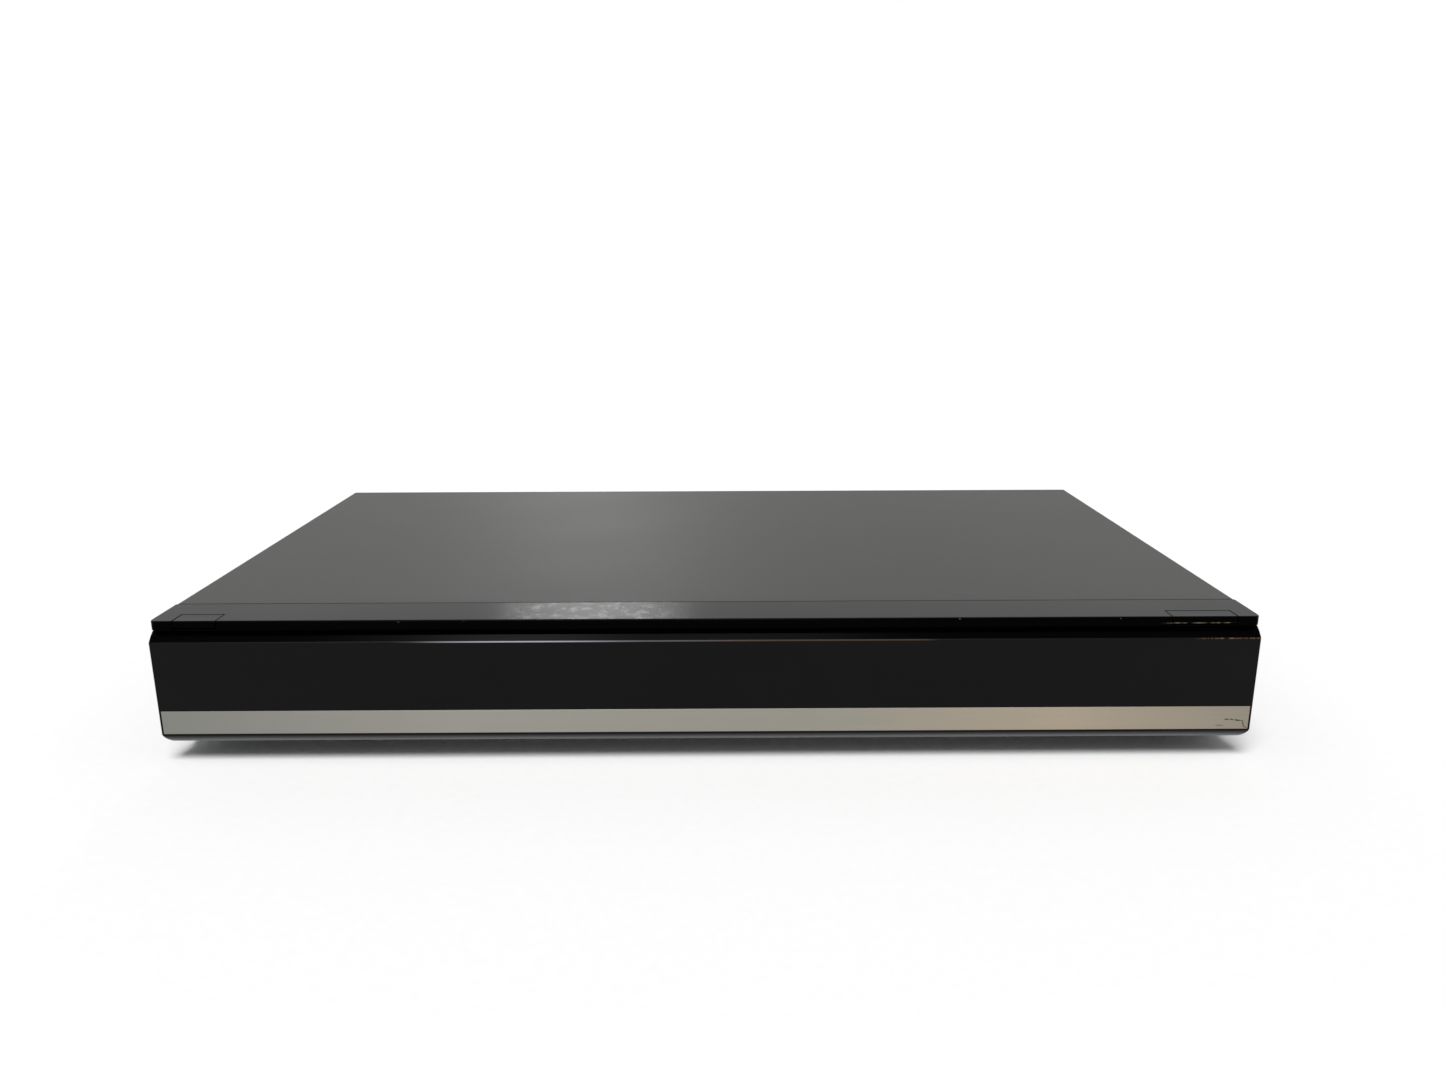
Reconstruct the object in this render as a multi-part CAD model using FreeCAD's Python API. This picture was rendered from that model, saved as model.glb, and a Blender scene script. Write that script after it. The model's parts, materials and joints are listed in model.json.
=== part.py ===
import FreeCAD, Part
import math
import os

# A disc recorder with a hard disk: a flat steel case whose front is one full-width door.
# The door falls forward on two low pivots and the disc tray comes out over it.
# Millimetres. While drawing, x = 0 is the middle, y = 0 is the door's front face with +y to the rear,
# and z = 0 is the table. The saved part is moved so that its origin lies under the middle of its box.

# The case
case_width = 430.0
case_height = 59.0
case_depth = 240.0
cover_inset = 1.0
cover_steel = 0.8
cover_bend = 1.6
rear_lip = 10.0
pan_steel = 1.0
pan_side_height = 12.0
foot_height = 5.0
foot_radius = 11.0
foot_from_side = 17.0
foot_from_front = 37.0
foot_from_rear = 30.0

# Clearances
seam_gap = 0.4
slide_gap = 0.3
running_fit = 0.05
mesh_backlash = 0.16

# The top trim and its two buttons
trim_inset = 0.7
trim_depth = 21.7
trim_height = 4.0
trim_wall = 1.6
trim_corner = 3.0
trim_lip_rise = 0.3
power_from_end = 8.3
power_width = 17.0
power_depth = 8.6
eject_from_end = 33.8
eject_width = 25.5
eject_depth = 7.8
button_face_height = 2.65
button_travel = 0.5
stem_width = 5.0
stem_depth = 1.5

# The door, its bright strip and its hinge
door_thick = 5.0
door_wall = 2.4
door_gap = 0.7
door_bottom = 8.2
door_curl = 3.3
door_slope = 4.5
door_end_round = 0.8
door_corner_round = 4.0
strip_bottom = 12.2
strip_height = 9.6
strip_thick = 0.8
strip_end_inset = 0.8
pivot_setback = 4.0
pivot_rise = 6.0
pivot_radius = 1.2
lug_radius = 3.0
lug_width = 2.8
door_swing = math.radians(90.0)

# The moulded front frame behind the door
frame_wall = 1.4
frame_side = 2.4
fascia_thick = 2.0
fascia_back = 17.0
pocket_width = 37.0
frame_nose = 3.5
tunnel_end = 31.0

# The door's damper: a toothed sector on the door turns a small pinion in thick grease
damper_module = 0.5
sector_teeth = 36
damper_teeth = 12
damper_width = 2.4
damper_bearing = math.radians(80.0)

# The disc tray
tray_width = 129.0
tray_thick = 4.5
tray_travel = 159.0
tray_from_stop = 4.03
tray_margin = 1.2
mouth_gap = 0.6
bezel_thick = 2.5
disc_radius = 60.0
disc_edge = 2.0
rack_height = 4.0
rack_inset = 10.5
rack_body = 3.0

# The gears that drive the tray
rack_module = 1.5
pinion_teeth = 10
wheel_module = 0.8
wheel_teeth = 30
small_teeth = 9
gear_height = 2.5
gear_post = 1.25
pulley_radius = 11.0
motor_pulley_radius = 3.0
belt_span = 32.0
belt_thick = 1.0

# The disc drive's frame and the deck that reads the disc
drive_wall = 6.0
drive_bottom = 12.0
drive_from_rear = 18.0
tray_side_room = 1.5
ledge_width = 4.0
ledge_thick = 1.5
turntable_radius = 14.0
deck_width = 100.0
deck_thick = 2.0
deck_z = 34.0
rod_radius = 1.5
rod_spread = 27.0
screw_offset = 36.0
lens_radius_inner = 24.0
sled_travel = 34.0
bridge_thick = 0.8
bridge_width = 36.0
clamp_hole = 12.4

# The hard disk and its bracket
disk_width = 101.6
disk_length = 147.0
disk_height = 26.1
disk_from_side = 14.4
disk_front = 40.0
bracket_floor = 10.0

# The circuit boards
board_thick = 1.6
board_rise = 5.0
board_margin = 6.0
main_from_drive = 8.0
main_from_disk = 6.0
main_front = 80.0
split_behind_disk = 5.0
power_board_width = 66.0
power_board_from_drive = 6.0
power_board_front = 44.0

# The fan
fan_size = 40.0
fan_depth = 20.0
fan_from_drive = 4.0
fan_hub = 11.0
fan_blades = 7

# The rear sockets
socket_reach = 9.0
aerial_radius = 4.75
aerial_spacing = 15.0
tuner_from_side = 157.0
tuner_width = 28.0
tuner_length = 46.0
tuner_height = 14.0
scart_from_side = 125.0
scart_width = 50.0
scart_height = 18.4
phono_from_side = 71.0
phono_width = 12.0
phono_radius = 4.1
phono_pitch = 12.0
hdmi_from_side = 56.0
hdmi_width = 15.6
hdmi_height = 7.0
network_from_side = 37.5
network_width = 16.4
network_height = 13.8
optical_from_side = 18.0
optical_width = 10.4
optical_height = 10.4
socket_depth = 16.0
panel_clearance = 0.3
inlet_from_side = 38.0
inlet_width = 22.0
inlet_height = 13.0

# Heights worked out from the sizes above
pan_bottom = foot_height
pan_top = pan_bottom + pan_steel
cover_half = case_width / 2 - cover_inset
cover_inner = cover_half - cover_steel
trim_half = cover_half - trim_inset
cover_front = trim_depth + seam_gap
frame_top = case_height - trim_height
ceiling = frame_top - frame_wall
door_top = frame_top + trim_lip_rise - door_gap
door_front_top = door_top - door_slope
pivot_y = door_thick + pivot_setback
pivot_z = pan_top + pivot_rise
pan_front = pivot_y + (pivot_z - door_bottom) + 1.4
fascia_front = fascia_back - fascia_thick
fascia_half = trim_half - pocket_width
tray_top = ceiling - mouth_gap
tray_bottom = tray_top - tray_thick
panel_outer = case_depth - cover_steel
panel_inner = panel_outer - pan_steel
board_bottom = pan_top + board_rise
board_top = board_bottom + board_thick
power_left = power_from_end - trim_half
eject_left = trim_half - eject_from_end
power_board_left = board_margin - cover_half
power_board_right = power_board_left + power_board_width
drive_left = power_board_right + power_board_from_drive
drive_half = tray_width / 2 + tray_side_room + drive_wall
tray_centre_x = drive_left + drive_half
drive_right = tray_centre_x + drive_half
main_left = drive_right + main_from_drive
main_right = cover_half - board_margin
disk_left = cover_half - disk_from_side - disk_width
main_split_x = disk_left - main_from_disk
main_split_y = disk_front + disk_length + split_behind_disk
fan_left = drive_right + fan_from_drive
tuner_left = cover_half - tuner_from_side
scart_left = cover_half - scart_from_side
phono_left = cover_half - phono_from_side
hdmi_left = cover_half - hdmi_from_side
network_left = cover_half - network_from_side
optical_left = cover_half - optical_from_side
inlet_x = inlet_from_side - cover_half


def start_behind_door(underside):
    """How far behind the door a piece of the tray must start so that the falling door stays ahead of it.

    The door and the tray move together at a steady ratio. The door's top edge drops below the given
    underside at one angle, and what the tray has covered by then, less what the door has swung clear
    at that height, is the room that is needed.
    """
    reach = door_top - pivot_z
    height = underside - pivot_z
    clear_angle = math.acos(height / math.hypot(reach, pivot_setback)) - math.atan2(pivot_setback, reach)
    covered = tray_travel * clear_angle / door_swing
    swung = height * math.tan(clear_angle) + pivot_setback * (1 / math.cos(clear_angle) - 1)
    return covered - swung + tray_margin


tray_front = door_thick + start_behind_door(tray_bottom)
rack_bottom = tray_bottom - rack_height
rack_front = door_thick + start_behind_door(rack_bottom) + 2.0
disc_y = tray_front + bezel_thick + disc_edge + disc_radius
drive_front = tunnel_end
drive_rear = case_depth - drive_from_rear
tray_rear = drive_rear - tray_from_stop
ledge_top = tray_bottom - slide_gap
drive_top = frame_top + 0.2


def box(x0, x1, y0, y1, z0, z1):
    """A block between two corners."""
    return Part.makeBox(x1 - x0, y1 - y0, z1 - z0, FreeCAD.Vector(x0, y0, z0))


def lift(plane, u, v, w):
    """A drawing's point (u, v) put at depth w along the axis that the plane is named after."""
    places = {"x": (w, u, v), "y": (u, w, v), "z": (u, v, w)}
    return FreeCAD.Vector(*places[plane])


def rounding(points, i):
    """Where the rounding of corner i starts, its centre, and where it ends, as plane points."""
    here = FreeCAD.Vector(points[i][0], points[i][1], 0)
    radius = points[i][2]
    following = points[(i + 1) % len(points)]
    before = FreeCAD.Vector(points[i - 1][0], points[i - 1][1], 0) - here
    after = FreeCAD.Vector(following[0], following[1], 0) - here
    before.normalize()
    after.normalize()
    half = before.getAngle(after) / 2
    inward = before + after
    inward.normalize()
    setback = radius / math.tan(half)
    return here + before * setback, here + inward * (radius / math.sin(half)), here + after * setback


def eased(points, cuts=2):
    """An outline whose corners (u, v, r) are rounded by a few short straight cuts instead of an arc."""
    flat = []
    for i, point in enumerate(points):
        if len(point) == 2:
            flat.append(point)
            continue
        start, centre, end = rounding(points, i)
        a = start - centre
        b = end - centre
        turn = a.getAngle(b)
        for k in range(cuts + 1):
            share = k / cuts
            spoke = (a * math.sin((1 - share) * turn) + b * math.sin(share * turn)) * (1 / math.sin(turn))
            flat.append((centre.x + spoke.x, centre.y + spoke.y))
    return flat


def outline(plane, points, w):
    """A closed wire. Each point is (u, v) or (u, v, r), where r rounds that corner with an arc."""
    corners = []
    for i, point in enumerate(points):
        here = FreeCAD.Vector(point[0], point[1], 0)
        if len(point) == 2:
            corners.append((here, None, here))
            continue
        start, centre, end = rounding(points, i)
        outward = here - centre
        outward.normalize()
        corners.append((start, centre + outward * point[2], end))
    edges = []
    for i, (start, waist, end) in enumerate(corners):
        place = [lift(plane, p.x, p.y, w) for p in (start, waist or start, end)]
        if waist is not None:
            edges.append(Part.Arc(*place).toShape())
        following = corners[(i + 1) % len(corners)][0]
        target = lift(plane, following.x, following.y, w)
        if place[2].distanceToPoint(target) > 1e-6:
            edges.append(Part.makeLine(place[2], target))
    return Part.Wire(edges)


def prism(plane, points, start, end):
    """A drawing carried along the axis that its plane is named after, from start to end."""
    lines = {"x": (1, 0, 0), "y": (0, 1, 0), "z": (0, 0, 1)}
    face = Part.Face(outline(plane, points, start))
    return face.extrude(FreeCAD.Vector(*lines[plane]) * (end - start))


def rod(axis, start, end, u, v, radius, sides=16):
    """A round pin or hole along an axis, drawn with flats to stay light; its corners lie on the radius.

    u and v are its other two coordinates in x, y, z order.
    """
    angles = [2 * math.pi * (i + 0.5) / sides for i in range(sides)]
    return prism(axis, [(u + radius * math.cos(a), v + radius * math.sin(a)) for a in angles], start, end)


def turned(x, y, profile, sides):
    """A piece turned about the upright line through (x, y), with flats round it instead of one curve.

    The profile is (radius, height) points; each of its edges sweeps a ring of flat faces.
    """
    angles = [2 * math.pi * i / sides for i in range(sides)]
    rings = []
    for r, z in profile:
        rings.append([FreeCAD.Vector(x + r * math.cos(a), y + r * math.sin(a), z) for a in angles])
    faces = []
    for k, ring in enumerate(rings):
        onward = rings[(k + 1) % len(rings)]
        radii = (profile[k][0], profile[(k + 1) % len(rings)][0])
        if max(radii) == 0:
            continue
        for i in range(sides):
            j = (i + 1) % sides
            near = [ring[i], ring[j]] if radii[0] else [ring[i]]
            far = [onward[j], onward[i]] if radii[1] else [onward[i]]
            corners = near + far
            faces.append(Part.Face(Part.makePolygon(corners + corners[:1])))
    solid = Part.Solid(Part.Shell(faces))
    if solid.Volume < 0:
        solid.reverse()
    return solid.removeSplitter()


def joined(shapes):
    """Solids fused into one, with the seams between flush faces taken away."""
    shapes = list(shapes)
    if len(shapes) == 1:
        return shapes[0]
    return shapes[0].multiFuse(shapes[1:]).removeSplitter()


def without(shape, tools):
    """A solid with every tool cut out of it."""
    tools = list(tools)
    return shape.cut(tools) if tools else shape


def row(first, pitch, count):
    """The places of a pattern along a line."""
    return [first + pitch * i for i in range(count)]


def mirrored(shape):
    """The same piece on the other side of the case."""
    return shape.mirror(FreeCAD.Vector(0, 0, 0), FreeCAD.Vector(1, 0, 0))


def save(name, shape):
    """Write one piece, moved so that the origin is under the middle of the whole recorder."""
    solids = [solid.copy() for solid in shape.Solids]
    whole = solids[0] if len(solids) == 1 else Part.makeCompound(solids)
    whole.translate(FreeCAD.Vector(0, -(case_depth + socket_reach) / 2, 0))
    whole.exportStep("parts/" + name + ".step")


# The steel case

vent_count = 8
vent_pitch = 9.0
vent_width = 2.4
vent_height = 17.0
vent_bottom = 20.0
vent_first = case_depth - 82.0
side_screw_y = (62.0, case_depth - 26.0)
side_screw_z = pan_top + 6.0
lip_screw_x = (-0.35 * case_width, 0.0, 0.35 * case_width)
lip_screw_z = case_height - rear_lip / 2
screw_head = 3.0
screw_head_side = 0.9
screw_head_rear = 1.6


def folded_block(half, front, rear, bottom, top, bend):
    """A block whose upper, rear and standing rear edges are rounded as folded sheet is.

    It is what three outlines, seen from the side, the front and above, have in common.
    """
    side = [(front, bottom), (rear, bottom), (rear, top, bend), (front, top)]
    face = [(-half, bottom), (half, bottom), (half, top, bend), (-half, top, bend)]
    plan = [(-half, front), (half, front), (half, rear, bend), (-half, rear, bend)]
    block = prism("x", eased(side, 3), -half, half)
    block = block.common(prism("y", eased(face, 3), front, rear))
    return block.common(prism("z", eased(plan, 3), bottom, top))


def side_vents():
    """Cutters for the upright slots in both sides of the cover."""
    reach = cover_half + 1
    top = vent_bottom + vent_height
    return [
        box(-reach, reach, y, y + vent_width, vent_bottom, top)
        for y in row(vent_first, vent_pitch, vent_count)
    ]


def top_cover():
    outside = folded_block(cover_half, cover_front, case_depth, pan_bottom, case_height, cover_bend)
    low = pan_bottom - 1
    inside = box(-cover_inner, cover_inner, cover_front - 1, panel_outer, low, case_height - cover_steel)
    opening = box(-cover_inner, cover_inner, panel_inner, case_depth + 1, low, case_height - rear_lip)
    return without(outside, [inside, opening] + side_vents())


def cover_screws():
    """The heads of the screws through the cover's sides and its rear lip."""
    heads = []
    for y in side_screw_y:
        heads.append(rod("x", cover_half, cover_half + screw_head_side, y, side_screw_z, screw_head, 10))
        heads.append(mirrored(heads[-1]))
    for x in lip_screw_x:
        heads.append(rod("y", case_depth, case_depth + screw_head_rear, x, lip_screw_z, screw_head, 10))
    return Part.makeCompound(heads)


board_posts = (
    (power_board_left + 5, power_board_front + 5),
    (power_board_right - 5, power_board_front + 5),
    (power_board_left + 5, panel_inner - 20),
    (power_board_right - 5, panel_inner - 20),
    (main_left + 5, main_front + 5),
    (main_split_x - 5, main_front + 5),
    (main_left + 5, main_split_y + 16),
    (main_right - 5, main_split_y + 8),
    (fan_left + fan_size + 42, main_split_y + 8),
)
grommet_seat = 2.4
bead_left = drive_left + 6.0
bead_right = drive_right - 4.0
bead_runs = (
    (bead_left, bead_right, drive_front + 31),
    (bead_left, bead_right, drive_rear - 72),
    (bead_left, bead_right, drive_rear - 32),
    (power_board_left + 8, power_board_right - 8, panel_outer - 13.2),
)
slot_starts = ((power_board_left + 12, power_board_front + 106), (disk_left + 14, disk_front + 56))
bridge_length = 12.0
bridge_top = 6.0
bridge_across = 5.0
shank_radius = 1.1
drive_feet = (
    (drive_left + 4, drive_front + 10),
    (drive_right - 4, drive_front + 10),
    (drive_left + 4, drive_rear - 10),
    (drive_right - 4, drive_rear - 10),
)
foot_places = [
    (side * (cover_half - foot_from_side), y)
    for side in (-1, 1)
    for y in (foot_from_front, case_depth - foot_from_rear)
]


def lanced_bridge(x, y, height):
    """A bridge of sheet pushed up out of the pan's floor, on which a board or a grommet is screwed."""
    z = pan_top + height
    half = bridge_length / 2
    flat = bridge_top / 2
    over = [(x - half, pan_top), (x - flat, z), (x + flat, z), (x + half, pan_top)]
    return prism("y", over, y - bridge_across / 2, y + bridge_across / 2)


def floor_bead(x0, x1, y):
    """A stiffening bead pressed upwards along the floor, as a solid and as the groove beneath it."""
    rise = 1.4
    raised = [(y - 3.5, pan_top), (y + 3.5, pan_top), (y + 2, pan_top + rise), (y - 2, pan_top + rise)]
    hollow = [(y - 2.4, pan_bottom - 0.1), (y + 2.4, pan_bottom - 0.1), (y + 1.4, pan_bottom + rise)]
    groove = prism("x", hollow + [(y - 1.4, pan_bottom + rise)], x0 + 2, x1 - 2)
    return prism("x", raised, x0, x1), groove


def bottom_chassis():
    """The steel pan: floor, upturned sides, lanced bridges, pressed beads and slots."""
    corner = 3.0
    half = cover_inner
    plan = [(-half, pan_front), (half, pan_front), (half, panel_outer, corner), (-half, panel_outer, corner)]
    solids = [prism("z", eased(plan), pan_bottom, pan_top)]
    wall_top = pan_top + pan_side_height
    solids.append(box(half - pan_steel, half, cover_front, panel_inner - 8, pan_top, wall_top))
    solids.append(box(-half, pan_steel - half, cover_front, panel_inner - 8, pan_top, wall_top))
    solids += [lanced_bridge(x, y, board_rise) for x, y in board_posts]
    solids += [lanced_bridge(x, y, grommet_seat) for x, y in drive_feet]
    grooves = []
    for x0, x1, y in bead_runs:
        bead, groove = floor_bead(x0, x1, y)
        solids.append(bead)
        grooves.append(groove)
    slots = [
        box(x, x + 4.0, y, y + 26, pan_bottom - 1, pan_top + 1)
        for left, y in slot_starts
        for x in row(left, 11.0, 4)
    ]
    rise = pan_top + grommet_seat
    taps = [rod("z", pan_top + 0.6, rise + 1, x, y, shank_radius, 6) for x, y in drive_feet]
    return without(joined(solids), grooves + slots + taps)


def feet():
    """Round moulded feet with a bevelled rim."""
    rim = foot_radius
    profile = [(0, 0), (rim - 1.2, 0), (rim, 1.2), (rim, foot_height), (0, foot_height)]
    return Part.makeCompound([turned(x, y, profile, 18) for x, y in foot_places])


# The rear panel and its sockets

panel_flange = 8.0
rear_vent_bottom = 22.0
rear_vent_top = 47.0
rear_vent_first = drive_left + 18.0
rear_vent_pitch = 10.5
rear_vent_width = 4.0
rear_vent_count = 11
fan_x = fan_left + fan_size / 2
fan_z = pan_top + 2.0 + fan_size / 2
fan_bore = fan_size / 2 - 1.4
grille_rows = 6
aerial_z = board_top + tuner_height / 2
aerial_x = [tuner_left + (tuner_width + side * aerial_spacing) / 2 for side in (-1, 1)]
phono_z = [board_top + phono_radius + 3.4 + i * phono_pitch for i in range(3)]
phono_x = phono_left + phono_width / 2
inlet_z = pan_top + 17.0
inlet_pin_spacing = 8.6
inlet_pin = 1.2
inlet_recess_width = 18.4
inlet_recess_height = 9.0
inlet_recess_depth = 11.0
inlet_depth = 16.0


def board_socket(left, width, height):
    """The block of a socket that stands on the main board with its mouth just outside the rear panel."""
    mouth = panel_outer + 0.6
    return box(left, left + width, mouth - socket_depth, mouth, board_top, board_top + height)


def grown(left, width, height):
    """The rear panel's cut-out round a socket that stands on the main board."""
    c = panel_clearance
    top = board_top + height + c
    return box(left - c, left + width + c, panel_inner - 1, panel_outer + 1, board_top - c, top)


def fan_grille():
    """Slots across the fan's bore, each as long as the circle allows."""
    slots = []
    pitch = 2 * fan_bore / grille_rows
    for i in range(grille_rows):
        z = fan_z - fan_bore + pitch * (i + 0.5)
        reach = math.sqrt((fan_bore - 0.8) ** 2 - (z - fan_z) ** 2)
        slots.append(box(fan_x - reach, fan_x + reach, panel_inner - 1, panel_outer + 1, z - 2.0, z + 2.0))
    return slots


def rear_panel():
    """The steel back: cut-outs for every socket, the fan's grille, vents and two folded flanges."""
    corner_room = cover_bend - cover_steel + 0.2
    top = case_height - cover_steel - corner_room
    half = cover_inner - corner_room
    solids = [box(-half, half, panel_inner, panel_outer, pan_top, top)]
    solids.append(box(half - pan_steel, half, panel_inner - panel_flange, panel_inner, pan_top, top - 2))
    solids.append(box(-half, pan_steel - half, panel_inner - panel_flange, panel_inner, pan_top, top - 2))
    cutters = [grown(scart_left, scart_width, scart_height), grown(hdmi_left, hdmi_width, hdmi_height)]
    cutters.append(grown(network_left, network_width, network_height))
    cutters.append(grown(optical_left, optical_width, optical_height))
    aerial_hole = aerial_radius + panel_clearance
    phono_hole = phono_radius + panel_clearance
    cutters += [rod("y", panel_inner - 1, panel_outer + 1, x, aerial_z, aerial_hole, 12) for x in aerial_x]
    cutters += [rod("y", panel_inner - 1, panel_outer + 1, phono_x, z, phono_hole, 12) for z in phono_z]
    wide = inlet_width / 2 + panel_clearance
    high = inlet_height / 2 + panel_clearance
    inlet = (inlet_x - wide, inlet_x + wide, panel_inner - 1, panel_outer + 1, inlet_z - high, inlet_z + high)
    cutters.append(box(*inlet))
    cutters += fan_grille()
    for x in row(rear_vent_first, rear_vent_pitch, rear_vent_count):
        slot = box(x, x + rear_vent_width, panel_inner - 1, panel_outer + 1, rear_vent_bottom, rear_vent_top)
        cutters.append(slot)
    return without(joined(solids), cutters)


def power_inlet():
    """The two-pin mains inlet: a rounded recess with its two round pins."""
    face = panel_outer + 1.0
    wide = inlet_width / 2
    high = inlet_height / 2
    block = box(inlet_x - wide, inlet_x + wide, face - inlet_depth, face, inlet_z - high, inlet_z + high)
    w = inlet_recess_width / 2
    h = inlet_recess_height / 2
    r = h - 0.4
    mouth = [(inlet_x - w, inlet_z - h, r), (inlet_x + w, inlet_z - h, r)]
    mouth += [(inlet_x + w, inlet_z + h, r), (inlet_x - w, inlet_z + h, r)]
    recess = prism("y", eased(mouth, 4), face - inlet_recess_depth, face + 1)
    back = face - inlet_recess_depth - 1
    pin_x = [inlet_x + side * inlet_pin_spacing / 2 for side in (-1, 1)]
    pins = [rod("y", back, face - 1.5, x, inlet_z, inlet_pin, 8) for x in pin_x]
    leg_x = (inlet_x - 7, inlet_x + 7)
    legs = [box(x - 1, x + 1, face - inlet_depth, face - 3, board_top, inlet_z - high) for x in leg_x]
    return joined([block.cut(recess)] + pins + legs)


def tuner_can():
    """The screened tuner box with its two aerial sockets, one with a bore and one with a centre pin."""
    rear = panel_inner
    front = rear - tuner_length
    right = tuner_left + tuner_width
    top = board_top + tuner_height
    can = box(tuner_left, right, front, rear, board_top, top)
    ridge = box(tuner_left + 1, right - 1, front + 1, rear - 3, top, top + 0.8)
    end = case_depth + socket_reach
    barrels = [rod("y", rear, end, x, aerial_z, aerial_radius, 12) for x in aerial_x]
    bore = rod("y", end - 7, end + 1, aerial_x[0], aerial_z, 1.5, 6)
    cup = rod("y", end - 7.5, end + 1, aerial_x[1], aerial_z, aerial_radius - 0.8, 12)
    pin = rod("y", end - 8, end - 1, aerial_x[1], aerial_z, 1.2, 6)
    return joined([without(joined([can, ridge] + barrels), [bore, cup]), pin])


def scart_socket():
    """The wide 21-way socket: slanted-corner rim and two rows of slots."""
    block = board_socket(scart_left, scart_width, scart_height)
    x0 = scart_left + 1.6
    x1 = scart_left + scart_width - 1.6
    z0 = board_top + 2.6
    z1 = board_top + scart_height - 2.6
    slanted = [(x0, z0), (x1 - 5, z0), (x1, z0 + 5), (x1, z1), (x0, z1)]
    rim = prism("y", slanted, panel_outer - 1.6, panel_outer + 2)
    middle = (z0 + z1) / 2
    rows = (middle - 3.0, middle + 3.0)
    slots = [box(x0 + 3, x1 - 4, panel_outer - 9, panel_outer, z - 0.9, z + 0.9) for z in rows]
    return without(block, [rim] + slots)


def phono_sockets():
    """Three phono jacks in one upright block: metal shells with a bore each."""
    top = phono_z[-1] + phono_radius + 2.0
    block = box(phono_left, phono_left + phono_width, panel_inner - 14, panel_inner, board_top, top)
    end = case_depth + socket_reach - 2.5
    shells = [rod("y", panel_inner, end, phono_x, z, phono_radius, 12) for z in phono_z]
    bores = [rod("y", end - 8, end + 1, phono_x, z, 1.6, 6) for z in phono_z]
    return without(joined([block] + shells), bores)


def hdmi_socket():
    """The video socket: a thin shell with sloping lower corners round a flat tongue."""
    block = board_socket(hdmi_left, hdmi_width, hdmi_height)
    x0 = hdmi_left + 0.8
    x1 = hdmi_left + hdmi_width - 0.8
    z0 = board_top + 1.0
    z1 = z0 + 4.6
    mouth = [(x0 + 2.2, z0), (x1 - 2.2, z0), (x1, z0 + 1.8), (x1, z1), (x0, z1), (x0, z0 + 1.8)]
    opening = prism("y", mouth, panel_outer - 9, panel_outer + 2)
    tongue = box(x0 + 1.5, x1 - 1.5, panel_outer - 10, panel_outer - 1, z0 + 1.7, z0 + 2.9)
    return joined([block.cut(opening), tongue])


def network_socket():
    """The network socket: a stepped opening that narrows upwards for the plug's latch."""
    block = board_socket(network_left, network_width, network_height)
    x = network_left + network_width / 2
    z = board_top + 1.8
    mouth = [(x - 5.9, z), (x + 5.9, z), (x + 5.9, z + 7.0), (x + 3.2, z + 7.0), (x + 3.2, z + 8.6)]
    mouth += [(x + 1.6, z + 8.6), (x + 1.6, z + 10.0), (x - 1.6, z + 10.0), (x - 1.6, z + 8.6)]
    mouth += [(x - 3.2, z + 8.6), (x - 3.2, z + 7.0), (x - 5.9, z + 7.0)]
    return block.cut(prism("y", mouth, panel_outer - 12, panel_outer + 2))


def optical_socket():
    """The optical audio socket with its sprung flap set back in a square mouth."""
    block = board_socket(optical_left, optical_width, optical_height)
    x = optical_left + optical_width / 2
    z = board_top + optical_height / 2
    return block.cut(box(x - 3.6, x + 3.6, panel_outer - 1.2, panel_outer + 2, z - 3.6, z + 3.6))


def fan_frame():
    """The fan's square housing: round bore, and three arms to the motor's seat and axle."""
    rear = panel_inner
    front = rear - fan_depth
    h = fan_size / 2
    c = 2.5
    plan = [(fan_x - h + c, fan_z - h), (fan_x + h - c, fan_z - h), (fan_x + h, fan_z - h + c)]
    plan += [(fan_x + h, fan_z + h - c), (fan_x + h - c, fan_z + h), (fan_x - h + c, fan_z + h)]
    plan += [(fan_x - h, fan_z + h - c), (fan_x - h, fan_z - h + c)]
    housing = prism("y", plan, front, rear)
    bore = rod("y", front - 1, rear + 1, fan_x, fan_z, fan_bore, 28)
    arm_thick = 2.0
    arms = []
    for i in range(3):
        z0 = fan_z + fan_hub - 2
        arm = box(fan_x - 1.2, fan_x + 1.2, rear - arm_thick, rear, z0, fan_z + fan_bore + 0.5)
        arm.rotate(FreeCAD.Vector(fan_x, rear, fan_z), FreeCAD.Vector(0, 1, 0), 60 + 120 * i)
        arms.append(arm)
    seat = rod("y", rear - arm_thick, rear, fan_x, fan_z, fan_hub, 14)
    axle = rod("y", front + 3, rear - arm_thick, fan_x, fan_z, rod_radius)
    return joined([housing.cut(bore), seat, axle] + arms)


def fan_rotor():
    """The hub on the fan's axle, with curved blades set across the airflow."""
    rear = panel_inner - 2.0 - slide_gap
    front = panel_inner - fan_depth + 1.5
    hub = rod("y", front, rear, fan_x, fan_z, fan_hub - 0.4, 16)
    chord = [(fan_x - 5.5, front + 1.5), (fan_x - 4.4, front + 1.2), (fan_x + 0.8, rear - 6.5)]
    chord += [(fan_x + 5.0, rear - 0.6), (fan_x + 3.9, rear - 0.6), (fan_x - 0.6, rear - 6.0)]
    tip = math.sqrt((fan_bore - 0.6) ** 2 - 5.5 ** 2)
    blades = []
    for i in range(fan_blades):
        blade = prism("z", chord, fan_z + fan_hub - 3, fan_z + tip)
        blade.rotate(FreeCAD.Vector(fan_x, 0, fan_z), FreeCAD.Vector(0, 1, 0), 360 / fan_blades * i)
        blades.append(blade)
    bore = rod("y", front - 1, rear + 1, fan_x, fan_z, rod_radius + running_fit)
    return joined([hub] + blades).cut(bore)


# The top trim, its buttons and the moulded frame

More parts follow.
